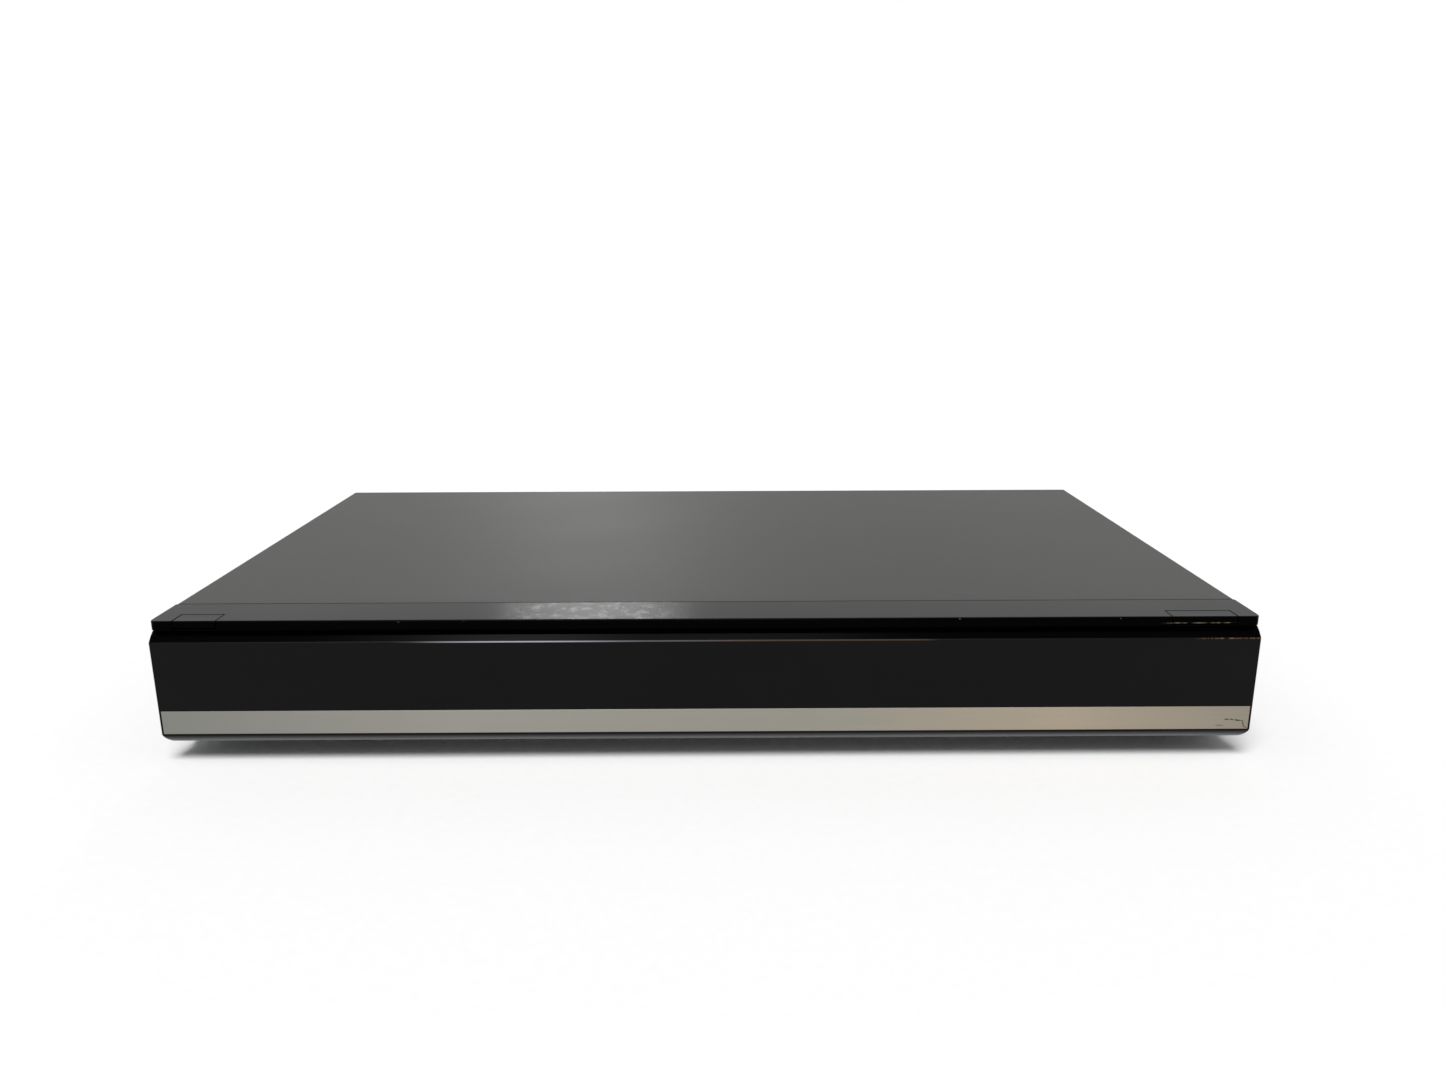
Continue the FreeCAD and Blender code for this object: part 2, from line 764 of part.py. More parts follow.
trim_roof = case_height - trim_wall
trim_bottom = frame_top + trim_lip_rise
stem_y = frame_wall + door_thick + slide_gap
frame_front = door_thick + 0.5
stem_bottom = frame_top - 2.0
button_board_z = ceiling - 4.6
trim_ribs = 7
window_bottom = 22.0
window_height = 20.0
card_width = 26.0
card_height = 3.6
card_z = 34.0
usb_width = 13.2
usb_height = 5.8
usb_z = 33.0
front_socket_depth = 12.0
display_board_y = 28.0
tunnel_wall = 1.5
mouth_side_gap = 1.0
mouth_bottom = tray_bottom - mouth_gap
mouth_left = tray_centre_x - tray_width / 2 - mouth_side_gap
mouth_right = tray_centre_x + tray_width / 2 + mouth_side_gap
usb_left = fascia_half - 24.3
card_left = usb_left - 34.0
window_left = mouth_right + 22.5
window_width = card_left - 14.0 - window_left
rack_right = tray_centre_x + tray_width / 2 - rack_inset
rack_left = rack_right - rack_body - 2.25 * rack_module


def trim_notch(left, width, depth):
    """The cut in the trim for a button: through its roof and most of its front lip."""
    roof = box(left, left + width, -1, depth, trim_roof - 1, case_height + 1)
    lip_bottom = case_height - button_face_height - 0.65
    lip = box(left, left + width, -1, trim_wall + 0.1, lip_bottom, case_height + 1)
    return [roof, lip]


def top_trim():
    """The gloss strip along the top front edge: thin roof, front lip, side lips and cross ribs beneath."""
    bead = 0.8
    rear_bead = 0.3
    section = [(0, frame_top), (trim_depth, frame_top)]
    section += [(trim_depth, case_height, rear_bead), (0, case_height, bead)]
    body = prism("x", eased(section), -trim_half, trim_half)
    c = trim_corner
    plan = [(-trim_half, 0, c), (trim_half, 0, c), (trim_half, trim_depth), (-trim_half, trim_depth)]
    body = body.common(prism("z", eased(plan, 4), frame_top - 1, case_height + 1))
    inner = trim_half - trim_wall
    rib_wall = 1.2
    pitch = 2 * inner / (trim_ribs + 1)
    edges = row(-inner, pitch, trim_ribs + 2)
    hollows = []
    for i in range(trim_ribs + 1):
        left = edges[i] + (rib_wall / 2 if i else 0)
        right = edges[i + 1] - (rib_wall / 2 if i < trim_ribs else 0)
        hollows.append(box(left, right, trim_wall, trim_depth - 1, frame_top - 1, trim_roof))
    under_lip = box(-trim_half - 1, trim_half + 1, -1, frame_front, frame_top - 1, trim_bottom)
    notches = trim_notch(power_left, power_width, power_depth)
    notches += trim_notch(eject_left, eject_width, eject_depth)
    return without(body, hollows + [under_lip] + notches)


def trim_button(left, width, depth):
    """An L-shaped button cap that fills its notch, with a rear flange under the trim and a stem."""
    gap = slide_gap
    x0 = left + gap
    x1 = left + width - gap
    rear = depth - gap
    section = [(0, case_height - button_face_height), (trim_wall, case_height - button_face_height)]
    section += [(trim_wall, trim_roof), (rear, trim_roof), (rear, case_height), (0, case_height, 0.8)]
    cap = prism("x", eased(section), x0, x1)
    flange = box(x0 + 1, x1 - 1, rear - 1.6, rear + 1.2, trim_roof - 0.9, trim_roof - gap)
    neck = box(x0 + 1, x1 - 1, rear - 1.6, rear - 0.2, trim_roof - gap, trim_roof)
    middle = (x0 + x1) / 2
    half = stem_width / 2
    stem = box(middle - half, middle + half, stem_y, stem_y + stem_depth, stem_bottom, trim_roof)
    return joined([cap, flange, neck, stem])


def button_middles():
    """Where the two stems stand."""
    return power_left + power_width / 2, eject_left + eject_width / 2


def button_boards():
    """Two small circuit boards under the frame's roof, each with a square switch below its button."""
    boards = []
    for x in button_middles():
        y0 = frame_front + 1.5
        board = box(x - 14, x + 14, y0, y0 + 12, button_board_z - 1.2, button_board_z)
        switch = box(x - 3, x + 3, stem_y, stem_y + 6, button_board_z, button_board_z + 1.8)
        dome_top = stem_bottom - button_travel - 0.1
        dome = rod("z", button_board_z + 1.8, dome_top, x, stem_y + stem_depth / 2 + 0.3, 1.0, 6)
        boards.append(joined([board, switch, dome]))
    return Part.makeCompound(boards)


def frame_end():
    """One side wall of the frame, in profile: its nose is round about the door's pivot."""
    nose_z = pivot_z - frame_nose
    section = [(frame_front, frame_top), (frame_front, nose_z, frame_nose), (pan_front, nose_z)]
    section += [(pan_front, pan_top), (trim_depth, pan_top), (trim_depth, frame_top)]
    wall = prism("x", eased(section, 3), trim_half - frame_side, trim_half)
    bore = rod("x", trim_half - frame_side - 1, trim_half + 1, pivot_y, pivot_z, pivot_radius + running_fit)
    return wall.cut(bore)


def front_frame():
    """The black moulding behind the door: fascia, tray tunnel, end pockets, roof and pivot walls."""
    half = trim_half - frame_side
    end = frame_end()
    solids = [end, mirrored(end)]
    solids.append(box(-half, half, frame_front, trim_depth, ceiling, frame_top))
    solids.append(box(-half, half, pan_front, trim_depth, pan_top, pan_top + frame_wall))
    solids.append(box(-fascia_half, fascia_half, fascia_front, fascia_back, pan_top, ceiling))
    for side in (-1, 1):
        x0, x1 = sorted((side * fascia_half, side * (fascia_half - fascia_thick)))
        solids.append(box(x0, x1, fascia_front, trim_depth, pan_top, ceiling))
        x0, x1 = sorted((side * (fascia_half - fascia_thick), side * half))
        solids.append(box(x0, x1, trim_depth - fascia_thick, trim_depth, pan_top, ceiling))
        x0, x1 = sorted((side * fascia_half, side * half))
        solids.append(box(x0, x1, frame_front, frame_front + 1.0, ceiling - 4.0, ceiling))
    w = tunnel_wall
    tunnel_top = min(ceiling + w, frame_top)
    solids.append(box(mouth_left - w, mouth_right + w, fascia_back, tunnel_end, mouth_bottom - w, tunnel_top))
    solids += board_hangers()
    y0 = fascia_front - 1
    y1 = tunnel_end + 1
    cutters = [box(mouth_left, mouth_right, y0, y1, mouth_bottom, ceiling)]
    cutters.append(box(rack_left - 1, rack_right + 1, y0, y1, rack_bottom - 1, mouth_bottom + 1))
    cutters.append(window_opening(0))
    cutters.append(front_opening(card_left, card_width, card_z, card_height))
    cutters.append(front_opening(usb_left, usb_width, usb_z, usb_height))
    cutters += stem_holes()
    return without(joined(solids), cutters)


def board_hangers():
    """Posts that hold the button boards under the frame's roof."""
    y0 = frame_front + 9
    middles = [x + side * 12 for x in button_middles() for side in (-1, 1)]
    return [box(x - 1.5, x + 1.5, y0, y0 + 3, button_board_z, ceiling) for x in middles]


def stem_holes():
    """Holes in the frame's roof for the buttons' stems."""
    gap = slide_gap
    half = stem_width / 2 + gap
    rear = stem_y + stem_depth + gap
    return [
        box(x - half, x + half, stem_y - gap, rear, ceiling - 1, frame_top + 1) for x in button_middles()
    ]


def window_opening(gap):
    """The display window's outline carried through the fascia, smaller all round by the gap."""
    x0 = window_left + gap
    x1 = window_left + window_width - gap
    z0 = window_bottom + gap
    z1 = window_bottom + window_height - gap
    corner = 2.0
    points = [(x0, z0, corner), (x1, z0, corner), (x1, z1, corner), (x0, z1, corner)]
    return prism("y", eased(points), fascia_front - 1, fascia_back + 1)


def front_opening(left, width, z, height):
    """A cut in the fascia that just clears a socket's shell."""
    c = panel_clearance
    return box(left - c, left + width + c, fascia_front - 1, fascia_back + 1, z - c, z + height + c)


def display_window():
    """The smoked window, with a rim behind the fascia that seats it."""
    lens = window_opening(0.1).common(box(0, case_width, fascia_front + 0.2, fascia_back, 0, case_height))
    left = window_left - 1.5
    right = window_left + window_width + 1.5
    top = window_bottom + window_height + 1.5
    rim = box(left, right, fascia_back, fascia_back + 1, window_bottom - 1.5, top)
    return joined([lens, rim])


def display_board():
    """The upright board that carries the display and the two front sockets."""
    board = box(8, fascia_half - 4, display_board_y, display_board_y + board_thick, pan_top, mouth_bottom - 1)
    back = display_board_y + board_thick
    driver = box(60, 74, back, back + 2, 26, 36)
    plug = box(112, 134, back, back + 5, 16, 22)
    return joined([board, driver, plug])


def display_tube():
    """The glass display: a flat tube with a thinner glass face and a sealed tip at one end."""
    left = window_left + 1
    right = window_left + window_width - 1
    front = fascia_back + 2.0
    low = window_bottom + 1
    high = window_bottom + window_height - 1
    tube = box(left, right, front + 1.4, display_board_y, low, high)
    glass = box(left + 1, right - 1, front, front + 1.4, low + 1, high - 1)
    tip = rod("x", right, right + 3.5, front + 5, window_bottom + window_height / 2, 1.6, 8)
    return joined([tube, glass, tip])


def card_slot():
    """The memory card slot: a flat metal shell reaching back to the display board."""
    front = fascia_front + 0.3
    shell = box(card_left, card_left + card_width, front, display_board_y, card_z, card_z + card_height)
    right = card_left + card_width
    mouth = box(card_left + 0.9, right - 0.9, front - 1, display_board_y - 1, card_z + 0.7, card_z + 2.9)
    return shell.cut(mouth)


def usb_port():
    """The front data socket: a rectangular shell with its tongue."""
    front = fascia_front + 0.3
    right = usb_left + usb_width
    end = front + front_socket_depth
    shell = box(usb_left, right, front, display_board_y, usb_z, usb_z + usb_height)
    mouth = box(usb_left + 0.6, right - 0.6, front - 1, end, usb_z + 0.6, usb_z + 5.2)
    tongue = box(usb_left + 1.2, right - 1.2, front + 1, end, usb_z + 3.0, usb_z + 4.8)
    return joined([shell.cut(mouth), tongue])


# The door, its strip, its hinge and its damper

lug_x = trim_half - frame_side - slide_gap
sector_radius = damper_module * sector_teeth / 2
damper_radius = damper_module * damper_teeth / 2
damper_y = pivot_y + (sector_radius + damper_radius) * math.cos(damper_bearing)
damper_z = pivot_z + (sector_radius + damper_radius) * math.sin(damper_bearing)
sector_x = lug_x - lug_width - damper_width
door_pockets = 8
door_rib = 3.0
pin_length = 7.0
strip_fit = 0.05
pressure_angle = math.radians(20.0)


def tooth(module, teeth, middle, reach):
    """One gear tooth as (angle, radius) pairs: straight chords of involute flanks, thinned for backlash."""
    pitch_radius = module * teeth / 2
    base_radius = pitch_radius * math.cos(pressure_angle)
    half = (math.pi * module / 2 - mesh_backlash) / 2 / pitch_radius
    involute = math.tan(pressure_angle) - pressure_angle
    root = pitch_radius - 1.2 * module
    tip = pitch_radius + reach * module
    lowest = max(root, base_radius)
    widths = []
    for radius in (lowest, tip):
        pressure = math.acos(base_radius / radius)
        widths.append(half + involute - (math.tan(pressure) - pressure))
    foot, crest = widths
    return [(middle - foot, root), (middle - crest, tip), (middle + crest, tip), (middle + foot, root)]


def gear_outline(module, teeth, phase):
    """All of a gear's teeth as plane points, with one tooth centred on the phase angle."""
    points = []
    for i in range(teeth):
        points += tooth(module, teeth, phase + 2 * math.pi * i / teeth, 0.95)
    return [(r * math.cos(a), r * math.sin(a)) for a, r in points]


def upright_gear(module, teeth, phase, x, y, z0, z1):
    """A gear whose axle stands upright at (x, y)."""
    return prism("z", [(x + u, y + v) for u, v in gear_outline(module, teeth, phase)], z0, z1)


def front_door():
    """The full-width door: curled lower edge, sloping shoulder, ribbed back and two pivot lugs."""
    half = case_width / 2
    body = prism("x", eased(outline_of_door(), 4), -half, half)
    r = door_end_round
    plan = [(-half, 0, r), (half, 0, r), (half, door_thick + 1), (-half, door_thick + 1)]
    body = body.common(prism("z", eased(plan), 0, case_height))
    low = door_corner_round
    face = [(-half, door_bottom, low), (half, door_bottom, low)]
    face += [(half, door_top, door_end_round), (-half, door_top, door_end_round)]
    body = body.common(prism("y", eased(face, 3), -1, door_thick + 1))
    cutters = []
    span = 2 * (fascia_half - 2)
    pocket = span / door_pockets
    for x in row(-span / 2, pocket, door_pockets):
        x0 = x + door_rib / 2
        x1 = x + pocket - door_rib / 2
        cutters.append(box(x0, x1, door_wall, door_thick + 1, strip_bottom + 2, door_front_top - 3))
    strip_top = strip_bottom + strip_height
    recess_half = half - strip_end_inset + strip_fit
    cutters.append(box(-recess_half, recess_half, -1, strip_thick, strip_bottom, strip_top))
    body = body.cut(cutters)
    lug = pivot_lug()
    whole = joined([body, lug, mirrored(lug)])
    bore = rod("x", -half, half, pivot_y, pivot_z, pivot_radius + running_fit)
    return whole.cut(bore)


def outline_of_door():
    """The door's section: flat face, sloping shoulder at the top, and a curled edge at the bottom."""
    shoulder = [(0, door_front_top), (door_thick * 0.42, door_top - door_slope * 0.4, 6.0)]
    shoulder += [(door_thick * 0.8, door_top - 0.15, 2.0), (door_thick, door_top)]
    return [(door_thick, door_bottom), (0, door_bottom, door_curl)] + shoulder


def pivot_lug():
    """The ear at the door's right end: a round boss about the pivot, joined to the door's back."""
    x0 = lug_x - lug_width
    boss = rod("x", x0, lug_x, pivot_y, pivot_z, lug_radius)
    web = box(x0, lug_x, door_thick - 1.0, pivot_y, pivot_z - lug_radius, pivot_z + lug_radius)
    return joined([boss, web])


def door_strip():
    """The bright metal strip let into the door's face."""
    half = case_width / 2 - strip_end_inset
    r = 0.6
    plan = [(-half, 0, r), (half, 0, r), (half, strip_thick), (-half, strip_thick)]
    return prism("z", eased(plan), strip_bottom, strip_bottom + strip_height)


def door_pivot_pins():
    """Two steel pins through the frame's side walls into the door's lugs."""
    end = trim_half
    pin = rod("x", end - pin_length, end, pivot_y, pivot_z, pivot_radius)
    return Part.makeCompound([pin, mirrored(pin)])


def door_gear():
    """The toothed sector screwed to the inside of the door's right lug."""
    first = damper_bearing - door_swing - 2 * math.pi / sector_teeth * 1.5
    last = damper_bearing + 2 * math.pi / sector_teeth * 1.5
    step = 2 * math.pi / sector_teeth
    middles = [damper_bearing + step * i for i in range(-sector_teeth, sector_teeth)]
    points = []
    for middle in middles:
        if first <= middle <= last:
            points += tooth(damper_module, sector_teeth, middle, 0.95)
    corners = [(pivot_y + r * math.cos(a), pivot_z + r * math.sin(a)) for a, r in points]
    hub = lug_radius - 0.4
    back = (first + last) / 2 + math.pi
    for t in (1.2, 0.4, -0.4, -1.2):
        corners.append((pivot_y + hub * math.cos(back - t), pivot_z + hub * math.sin(back - t)))
    sector = prism("x", corners[::-1], sector_x, sector_x + damper_width)
    bore = rod("x", sector_x - 1, lug_x, pivot_y, pivot_z, pivot_radius + running_fit)
    return sector.cut(bore)


def damper_pinion():
    """The damper's small gear and its stem, which turns in grease inside the housing."""
    facing = damper_bearing + math.pi + math.pi / damper_teeth
    points = gear_outline(damper_module, damper_teeth, facing)
    gear = prism("x", [(damper_y + u, damper_z + v) for u, v in points], sector_x, sector_x + damper_width)
    stem = rod("x", sector_x - 3, sector_x, damper_y, damper_z, 1.4)
    return joined([gear, stem])


def damper_housing():
    """The damper's round body on an ear that is screwed to the frame's pocket wall."""
    x1 = sector_x - slide_gap
    x0 = x1 - 6.0
    body = rod("x", x0, x1, damper_y, damper_z, 5.4, 14)
    ear = box(x0, x0 + 2, damper_y, trim_depth - fascia_thick, damper_z - 2.5, damper_z + 9)
    bore = rod("x", sector_x - 3 - slide_gap, x1 + 1, damper_y, damper_z, 1.4 + running_fit)
    return joined([body, ear]).cut(bore)


# The disc tray and the gears that drive it

small_disc_radius = 40.5
slot_half = 22.0
arm_start = 134.0
pinion_radius = rack_module * pinion_teeth / 2
wheel_radius = wheel_module * wheel_teeth / 2
small_radius = wheel_module * small_teeth / 2
gear_y = rack_front + rack_module * math.pi * 1.5
pinion_x = rack_left + rack_module - pinion_radius
pulley_x = pinion_x - wheel_radius - small_radius
motor_x = pulley_x - belt_span
pinion_top = tray_bottom - slide_gap
wheel_top = rack_bottom - slide_gap
wheel_bottom = wheel_top - gear_height
pulley_top = wheel_bottom - slide_gap
pulley_bottom = pulley_top - gear_height
shelf_top = pulley_bottom - slide_gap
shelf_thick = 2.0
belt_sink = 0.3
belt_steps = 12
motor_radius = 11.0
motor_height = 15.0


def disc_tray():
    """The sliding tray: two stepped disc recesses, a slot for the deck beneath, side arms and a rack."""
    x = tray_centre_x
    h = tray_width / 2
    front = tray_front + bezel_thick
    plan = [(x - h, front), (x + h, front), (x + h, tray_rear, 1.0), (x + h - 15, tray_rear, 1.0)]
    plan += [(x + h - 15, tray_front + arm_start, 5.0), (x - h + 15, tray_front + arm_start, 5.0)]
    plan += [(x - h + 15, tray_rear, 1.0), (x - h, tray_rear, 1.0)]
    plate = prism("z", eased(plan), tray_bottom, tray_top)
    seat = [(0, tray_top - 2.6), (disc_radius + 0.4, tray_top - 2.6)]
    seat += [(disc_radius + 1.0, tray_top + 1), (0, tray_top + 1)]
    outer = turned(x, disc_y, seat, 44)
    inner = rod("z", tray_bottom + 1.0, tray_top, x, disc_y, small_disc_radius, 30)
    round_end = slot_half - 1
    slot = [(x - slot_half, disc_y - slot_half, round_end), (x + slot_half, disc_y - slot_half, round_end)]
    slot += [(x + slot_half, disc_y + 58, 4.0), (x - slot_half, disc_y + 58, 4.0)]
    opening = prism("z", eased(slot, 5), tray_bottom - 1, tray_top + 1)
    rims = (x - disc_radius - 1, x + disc_radius + 1)
    notches = [rod("z", tray_top - 3.4, tray_top + 1, rim, disc_y, 7.0, 12) for rim in rims]
    return joined([without(plate, [outer, inner, opening] + notches), tray_rack()])


def tray_rack():
    """The rack under the tray's right side, with its teeth towards the pinion."""
    pitch = math.pi * rack_module
    first = gear_y + pitch / 2
    count = int((tray_travel + 3 * pitch) / pitch)
    start = first - 2 * pitch
    points = [(rack_right, rack_front)]
    end = start + (count + 1) * pitch
    points += [(rack_right, end), (rack_left + 2.15 * rack_module, end)]
    slope = math.tan(pressure_angle) * rack_module
    half = (pitch / 2 - mesh_backlash) / 2
    for i in range(count, 0, -1):
        middle = start + i * pitch
        if middle - pitch / 2 < rack_front:
            continue
        points.append((rack_left + 2.15 * rack_module, middle + half + 1.1 * slope))
        points.append((rack_left + 0.05 * rack_module, middle + half - 0.95 * slope))
        points.append((rack_left + 0.05 * rack_module, middle - half + 0.95 * slope))
        points.append((rack_left + 2.15 * rack_module, middle - half - 1.1 * slope))
    points.append((rack_left + 2.15 * rack_module, rack_front))
    return prism("z", points, rack_bottom, tray_bottom)


def tray_bezel():
    """The tray's front face, as wide as the mouth allows, with its front edges softened."""
    x0 = mouth_left + slide_gap
    x1 = mouth_right - slide_gap
    y0 = tray_front
    y1 = tray_front + bezel_thick
    section = [(y0, tray_bottom, 0.5), (y1, tray_bottom), (y1, tray_top), (y0, tray_top, 0.5)]
    return prism("x", eased(section), x0, x1)


def tray_gear():
    """The gear that moves the tray: a wide wheel below and the rack's pinion above, in one moulding."""
    wheel = upright_gear(wheel_module, wheel_teeth, math.pi, pinion_x, gear_y, wheel_bottom, wheel_top)
    pinion = upright_gear(rack_module, pinion_teeth, 0, pinion_x, gear_y, wheel_top, pinion_top)
    bore = rod("z", wheel_bottom - 1, pinion_top + 1, pinion_x, gear_y, gear_post + running_fit)
    return joined([wheel, pinion]).cut(bore)


def grooved_pulley(x, radius, sides):
    """A belt pulley turned with a V groove round its rim."""
    low = pulley_bottom
    high = pulley_top
    middle = (low + high) / 2
    bore = gear_post + running_fit
    profile = [(bore, low), (radius + 0.8, low), (radius - 0.6, middle - 0.6), (radius - 0.6, middle + 0.6)]
    return turned(x, gear_y, profile + [(radius + 0.8, high), (bore, high)], sides)


def pulley_gear():
    """The belt's large pulley with a small gear on top."""
    phase = math.pi / small_teeth
    gear = upright_gear(wheel_module, small_teeth, phase, pulley_x, gear_y, pulley_top, wheel_top)
    bore = rod("z", pulley_bottom - 1, wheel_top + 1, pulley_x, gear_y, gear_post + running_fit)
    return joined([grooved_pulley(pulley_x, pulley_radius, 20), gear.cut(bore)])


def motor_pulley():
    """The small pulley on the loading motor's shaft."""
    return grooved_pulley(motor_x, motor_pulley_radius, 12)


def band(grow):
    """The belt's loop at a distance outside the pulleys' radii: two part circles and their tangents."""
    big = pulley_radius + grow
    small = motor_pulley_radius + grow
    lean = math.acos((small - big) / belt_span)
    loop = []
    for x, radius, first, last, steps in (
        (pulley_x, big, lean, -lean, belt_steps),
        (motor_x, small, -lean, lean - 2 * math.pi, belt_steps // 2),
    ):
        for i in range(steps + 1):
            angle = first + (last - first) * i / steps
            loop.append((x + radius * math.cos(angle), gear_y + radius * math.sin(angle)))
    return loop


def loading_belt():
    """The rubber belt round both pulleys, lying a little clear of the grooves' floors."""
    bottom = (pulley_bottom + pulley_top) / 2 - belt_thick / 2
    outer = prism("z", band(belt_thick - belt_sink), bottom, bottom + belt_thick)
    return outer.cut(prism("z", band(-belt_sink), bottom - 1, bottom + belt_thick + 1))


def loading_motor():
    """The flat-sided loading motor hung under the shelf, with its shaft up through it."""
    top = shelf_top - shelf_thick
    can = rod("z", top - motor_height, top, motor_x, gear_y, motor_radius, 20)
    flats = box(motor_x - 20, motor_x + 20, gear_y - 8.5, gear_y + 8.5, top - motor_height, top)
    boss = rod("z", top - motor_height - 1.5, top - motor_height, motor_x, gear_y, 3.5, 10)
    shaft = rod("z", top, pulley_top + 0.5, motor_x, gear_y, gear_post, 12)
    return joined([can.common(flats), boss, shaft])


# The disc drive's frame and the deck under the disc

wall_inner = tray_width / 2 + tray_side_room
deck_front = disc_y - 22.0
deck_rear = disc_y + 92.0
deck_opening = 24.0
bar_thick = 5.0
wall_windows = 2
wall_pockets = 3
first_window = drive_front + 52.0
wall_pitch = (drive_rear - 7 - first_window) / wall_windows
pocket_pitch = (drive_rear - drive_front - 11) / wall_pockets
rod_z = deck_z + deck_thick + 3.0
rod_front = disc_y + 8.0
rod_rear = deck_rear - 6.0
spindle_motor_radius = 14.5
spindle_top = tray_bottom - slide_gap
turntable_z = deck_z + deck_thick + 6.0
lens_y = disc_y + lens_radius_inner
sled_front = disc_y + 11.5
sled_length = 28.0
sled_bottom = deck_z + deck_thick + 0.8
sled_top = rod_z + 5.5
screw_front = disc_y + 4.0
screw_rear = deck_rear - 20.0
grommet_radius = 4.6
grommet_lip = 1.4
lug_hole = 3.0
lug_bottom = pan_top + grommet_seat + 1.6
lug_thick = 2.4


def drive_sides():
    """The two long walls of the drive, each with a window cut out to save weight."""
    walls = []
    for side in (-1, 1):
        x0, x1 = sorted((tray_centre_x + side * wall_inner, tray_centre_x + side * (wall_inner + drive_wall)))
        wall = box(x0, x1, drive_front, drive_rear, drive_bottom, drive_top)
        windows = [
            box(x0 - 1, x1 + 1, y, y + wall_pitch - 12, drive_bottom + 5, deck_z - 9)
            for y in row(first_window, wall_pitch, wall_windows)
        ]
        face = tray_centre_x + side * (wall_inner + drive_wall)
        p0, p1 = sorted((face + side, face - side * (drive_wall - 2.4)))
        pockets = [
            box(p0, p1, y, y + pocket_pitch - 8, ledge_top - 7, drive_top - 3)
            for y in row(drive_front + 8, pocket_pitch, wall_pockets)
        ]
        walls.append(without(wall, windows + pockets))
    return walls


def drive_chassis():
    """The drive's moulded frame: walls, tray ledges and tabs, gear shelf, cross bars and mounting lugs."""
    solids = drive_sides()
    x = tray_centre_x
    inner = wall_inner
    for side in (-1, 1):
        x0, x1 = sorted((x + side * inner, x + side * (inner - ledge_width)))
        solids.append(box(x0, x1, drive_front, drive_rear, ledge_top - ledge_thick, ledge_top))
        for y in (drive_front + 8, (drive_front + drive_rear) / 2 - 11.5, drive_rear - 22):
            solids.append(box(x0, x1, y, y + 12, tray_top + slide_gap, drive_top))
    solids.append(box(x - inner, x + inner, drive_front + 1, gear_y + 17, shelf_top - shelf_thick, shelf_top))
    under = shelf_top - shelf_thick
    solids.append(box(x - inner, x + inner, drive_front, drive_front + 3, drive_bottom, under))
    for y in (deck_front + 1, deck_rear - 1 - bar_thick):
        solids.append(box(x - inner, x + inner, y, y + bar_thick, deck_z - 8, deck_z))
    solids.append(box(x - inner, x + inner, drive_rear - 3, drive_rear, drive_bottom, rack_bottom - 2))
    solids += gear_posts()
    ends = [(drive_left - 2, drive_left + 7.5), (drive_right - 7.5, drive_right + 2)]
    for i, (px, py) in enumerate(drive_feet):
        x0, x1 = ends[i % 2]
        solids.append(box(x0, x1, py - 6, py + 6, lug_bottom, lug_bottom + lug_thick))
    over = lug_bottom + lug_thick
    room = grommet_radius + 0.8
    cutters = [rod("z", lug_bottom - 1, over + 1, px, py, lug_hole, 8) for px, py in drive_feet]
    cutters += [box(px - room, px + room, py - room, py + room, over, over + 8) for px, py in drive_feet]
    cutters.append(rod("z", shelf_top - shelf_thick - 1, shelf_top + 1, motor_x, gear_y, 4.0, 10))
    return without(joined(solids), cutters)


def gear_posts():
    """The posts that the tray's gears turn on, each with a shoulder under its gear."""
    top = pinion_top - 0.4
    posts = [rod("z", shelf_top, top, pinion_x, gear_y, gear_post)]
    posts.append(rod("z", shelf_top, wheel_bottom - slide_gap, pinion_x, gear_y, gear_post + 1.6, 10))
    posts.append(rod("z", shelf_top, wheel_top, pulley_x, gear_y, gear_post))
    return posts


def drive_grommets():
    """Four rubber grommets: grooved rings that hold the drive's lugs on the pan's posts."""
    seat = pan_top + grommet_seat
    groove = lug_bottom
    top = lug_bottom + lug_thick
    rings = []
    for x, y in drive_feet:
        bore = shank_radius + 0.3
        waist = lug_hole - 0.3
        profile = [(bore, seat), (grommet_radius, seat), (grommet_radius, groove), (waist, groove)]
        profile += [(waist, top), (grommet_radius, top), (grommet_radius, top + grommet_lip)]
        profile.append((bore, top + grommet_lip))
        rings.append(turned(x, y, profile, 6))
    return Part.makeCompound(rings)


def clamp_bridge():
    """The steel strip over the tray: a round hole for the clamp, stiffening ribs and bent-down ends."""
    x = tray_centre_x
    half = wall_inner + drive_wall
    y0 = disc_y - bridge_width / 2
    y1 = disc_y + bridge_width / 2
    plan = [(x - half, y0 + 6), (x - half + 22, y0 + 6, 4), (x - 20, y0, 8), (x + 20, y0, 8)]
    plan += [(x + half - 22, y0 + 6, 4), (x + half, y0 + 6), (x + half, y1 - 6), (x + half - 22, y1 - 6, 4)]
    plan += [(x + 20, y1, 8), (x - 20, y1, 8), (x - half + 22, y1 - 6, 4), (x - half, y1 - 6)]
    strip = prism("z", eased(plan), drive_top, drive_top + bridge_thick)
    z = drive_top + bridge_thick
    spans = ((x - half + 6, x - 24), (x + 24, x + half - 6))
    ribs = [box(x0, x1, disc_y - 3, disc_y + 3, z, z + 0.8) for x0, x1 in spans]
    hole = rod("z", drive_top - 1, z + 1, x, disc_y, clamp_hole + 0.1, 20)
    holes = [rod("z", drive_top - 1, z + 1, x + side * (half - 3), disc_y, 1.4, 6) for side in (-1, 1)]
    return without(joined([strip] + ribs), [hole] + holes)


def clamper():
    """The clamp that presses the disc on the turntable: two flanges and a neck in the bridge's hole."""
    neck = clamp_hole - slide_gap
    low = tray_top + 0.5
    under = drive_top - slide_gap
    over = drive_top + bridge_thick + 0.1
    flange = clamp_hole + 2.6
    profile = [(0, low), (flange, low), (flange, under), (neck, under), (neck, over)]
    profile += [(flange - 1, over), (flange - 1.6, over + 1.0), (0, over + 1.0)]
    return turned(tray_centre_x, disc_y, profile, 20)


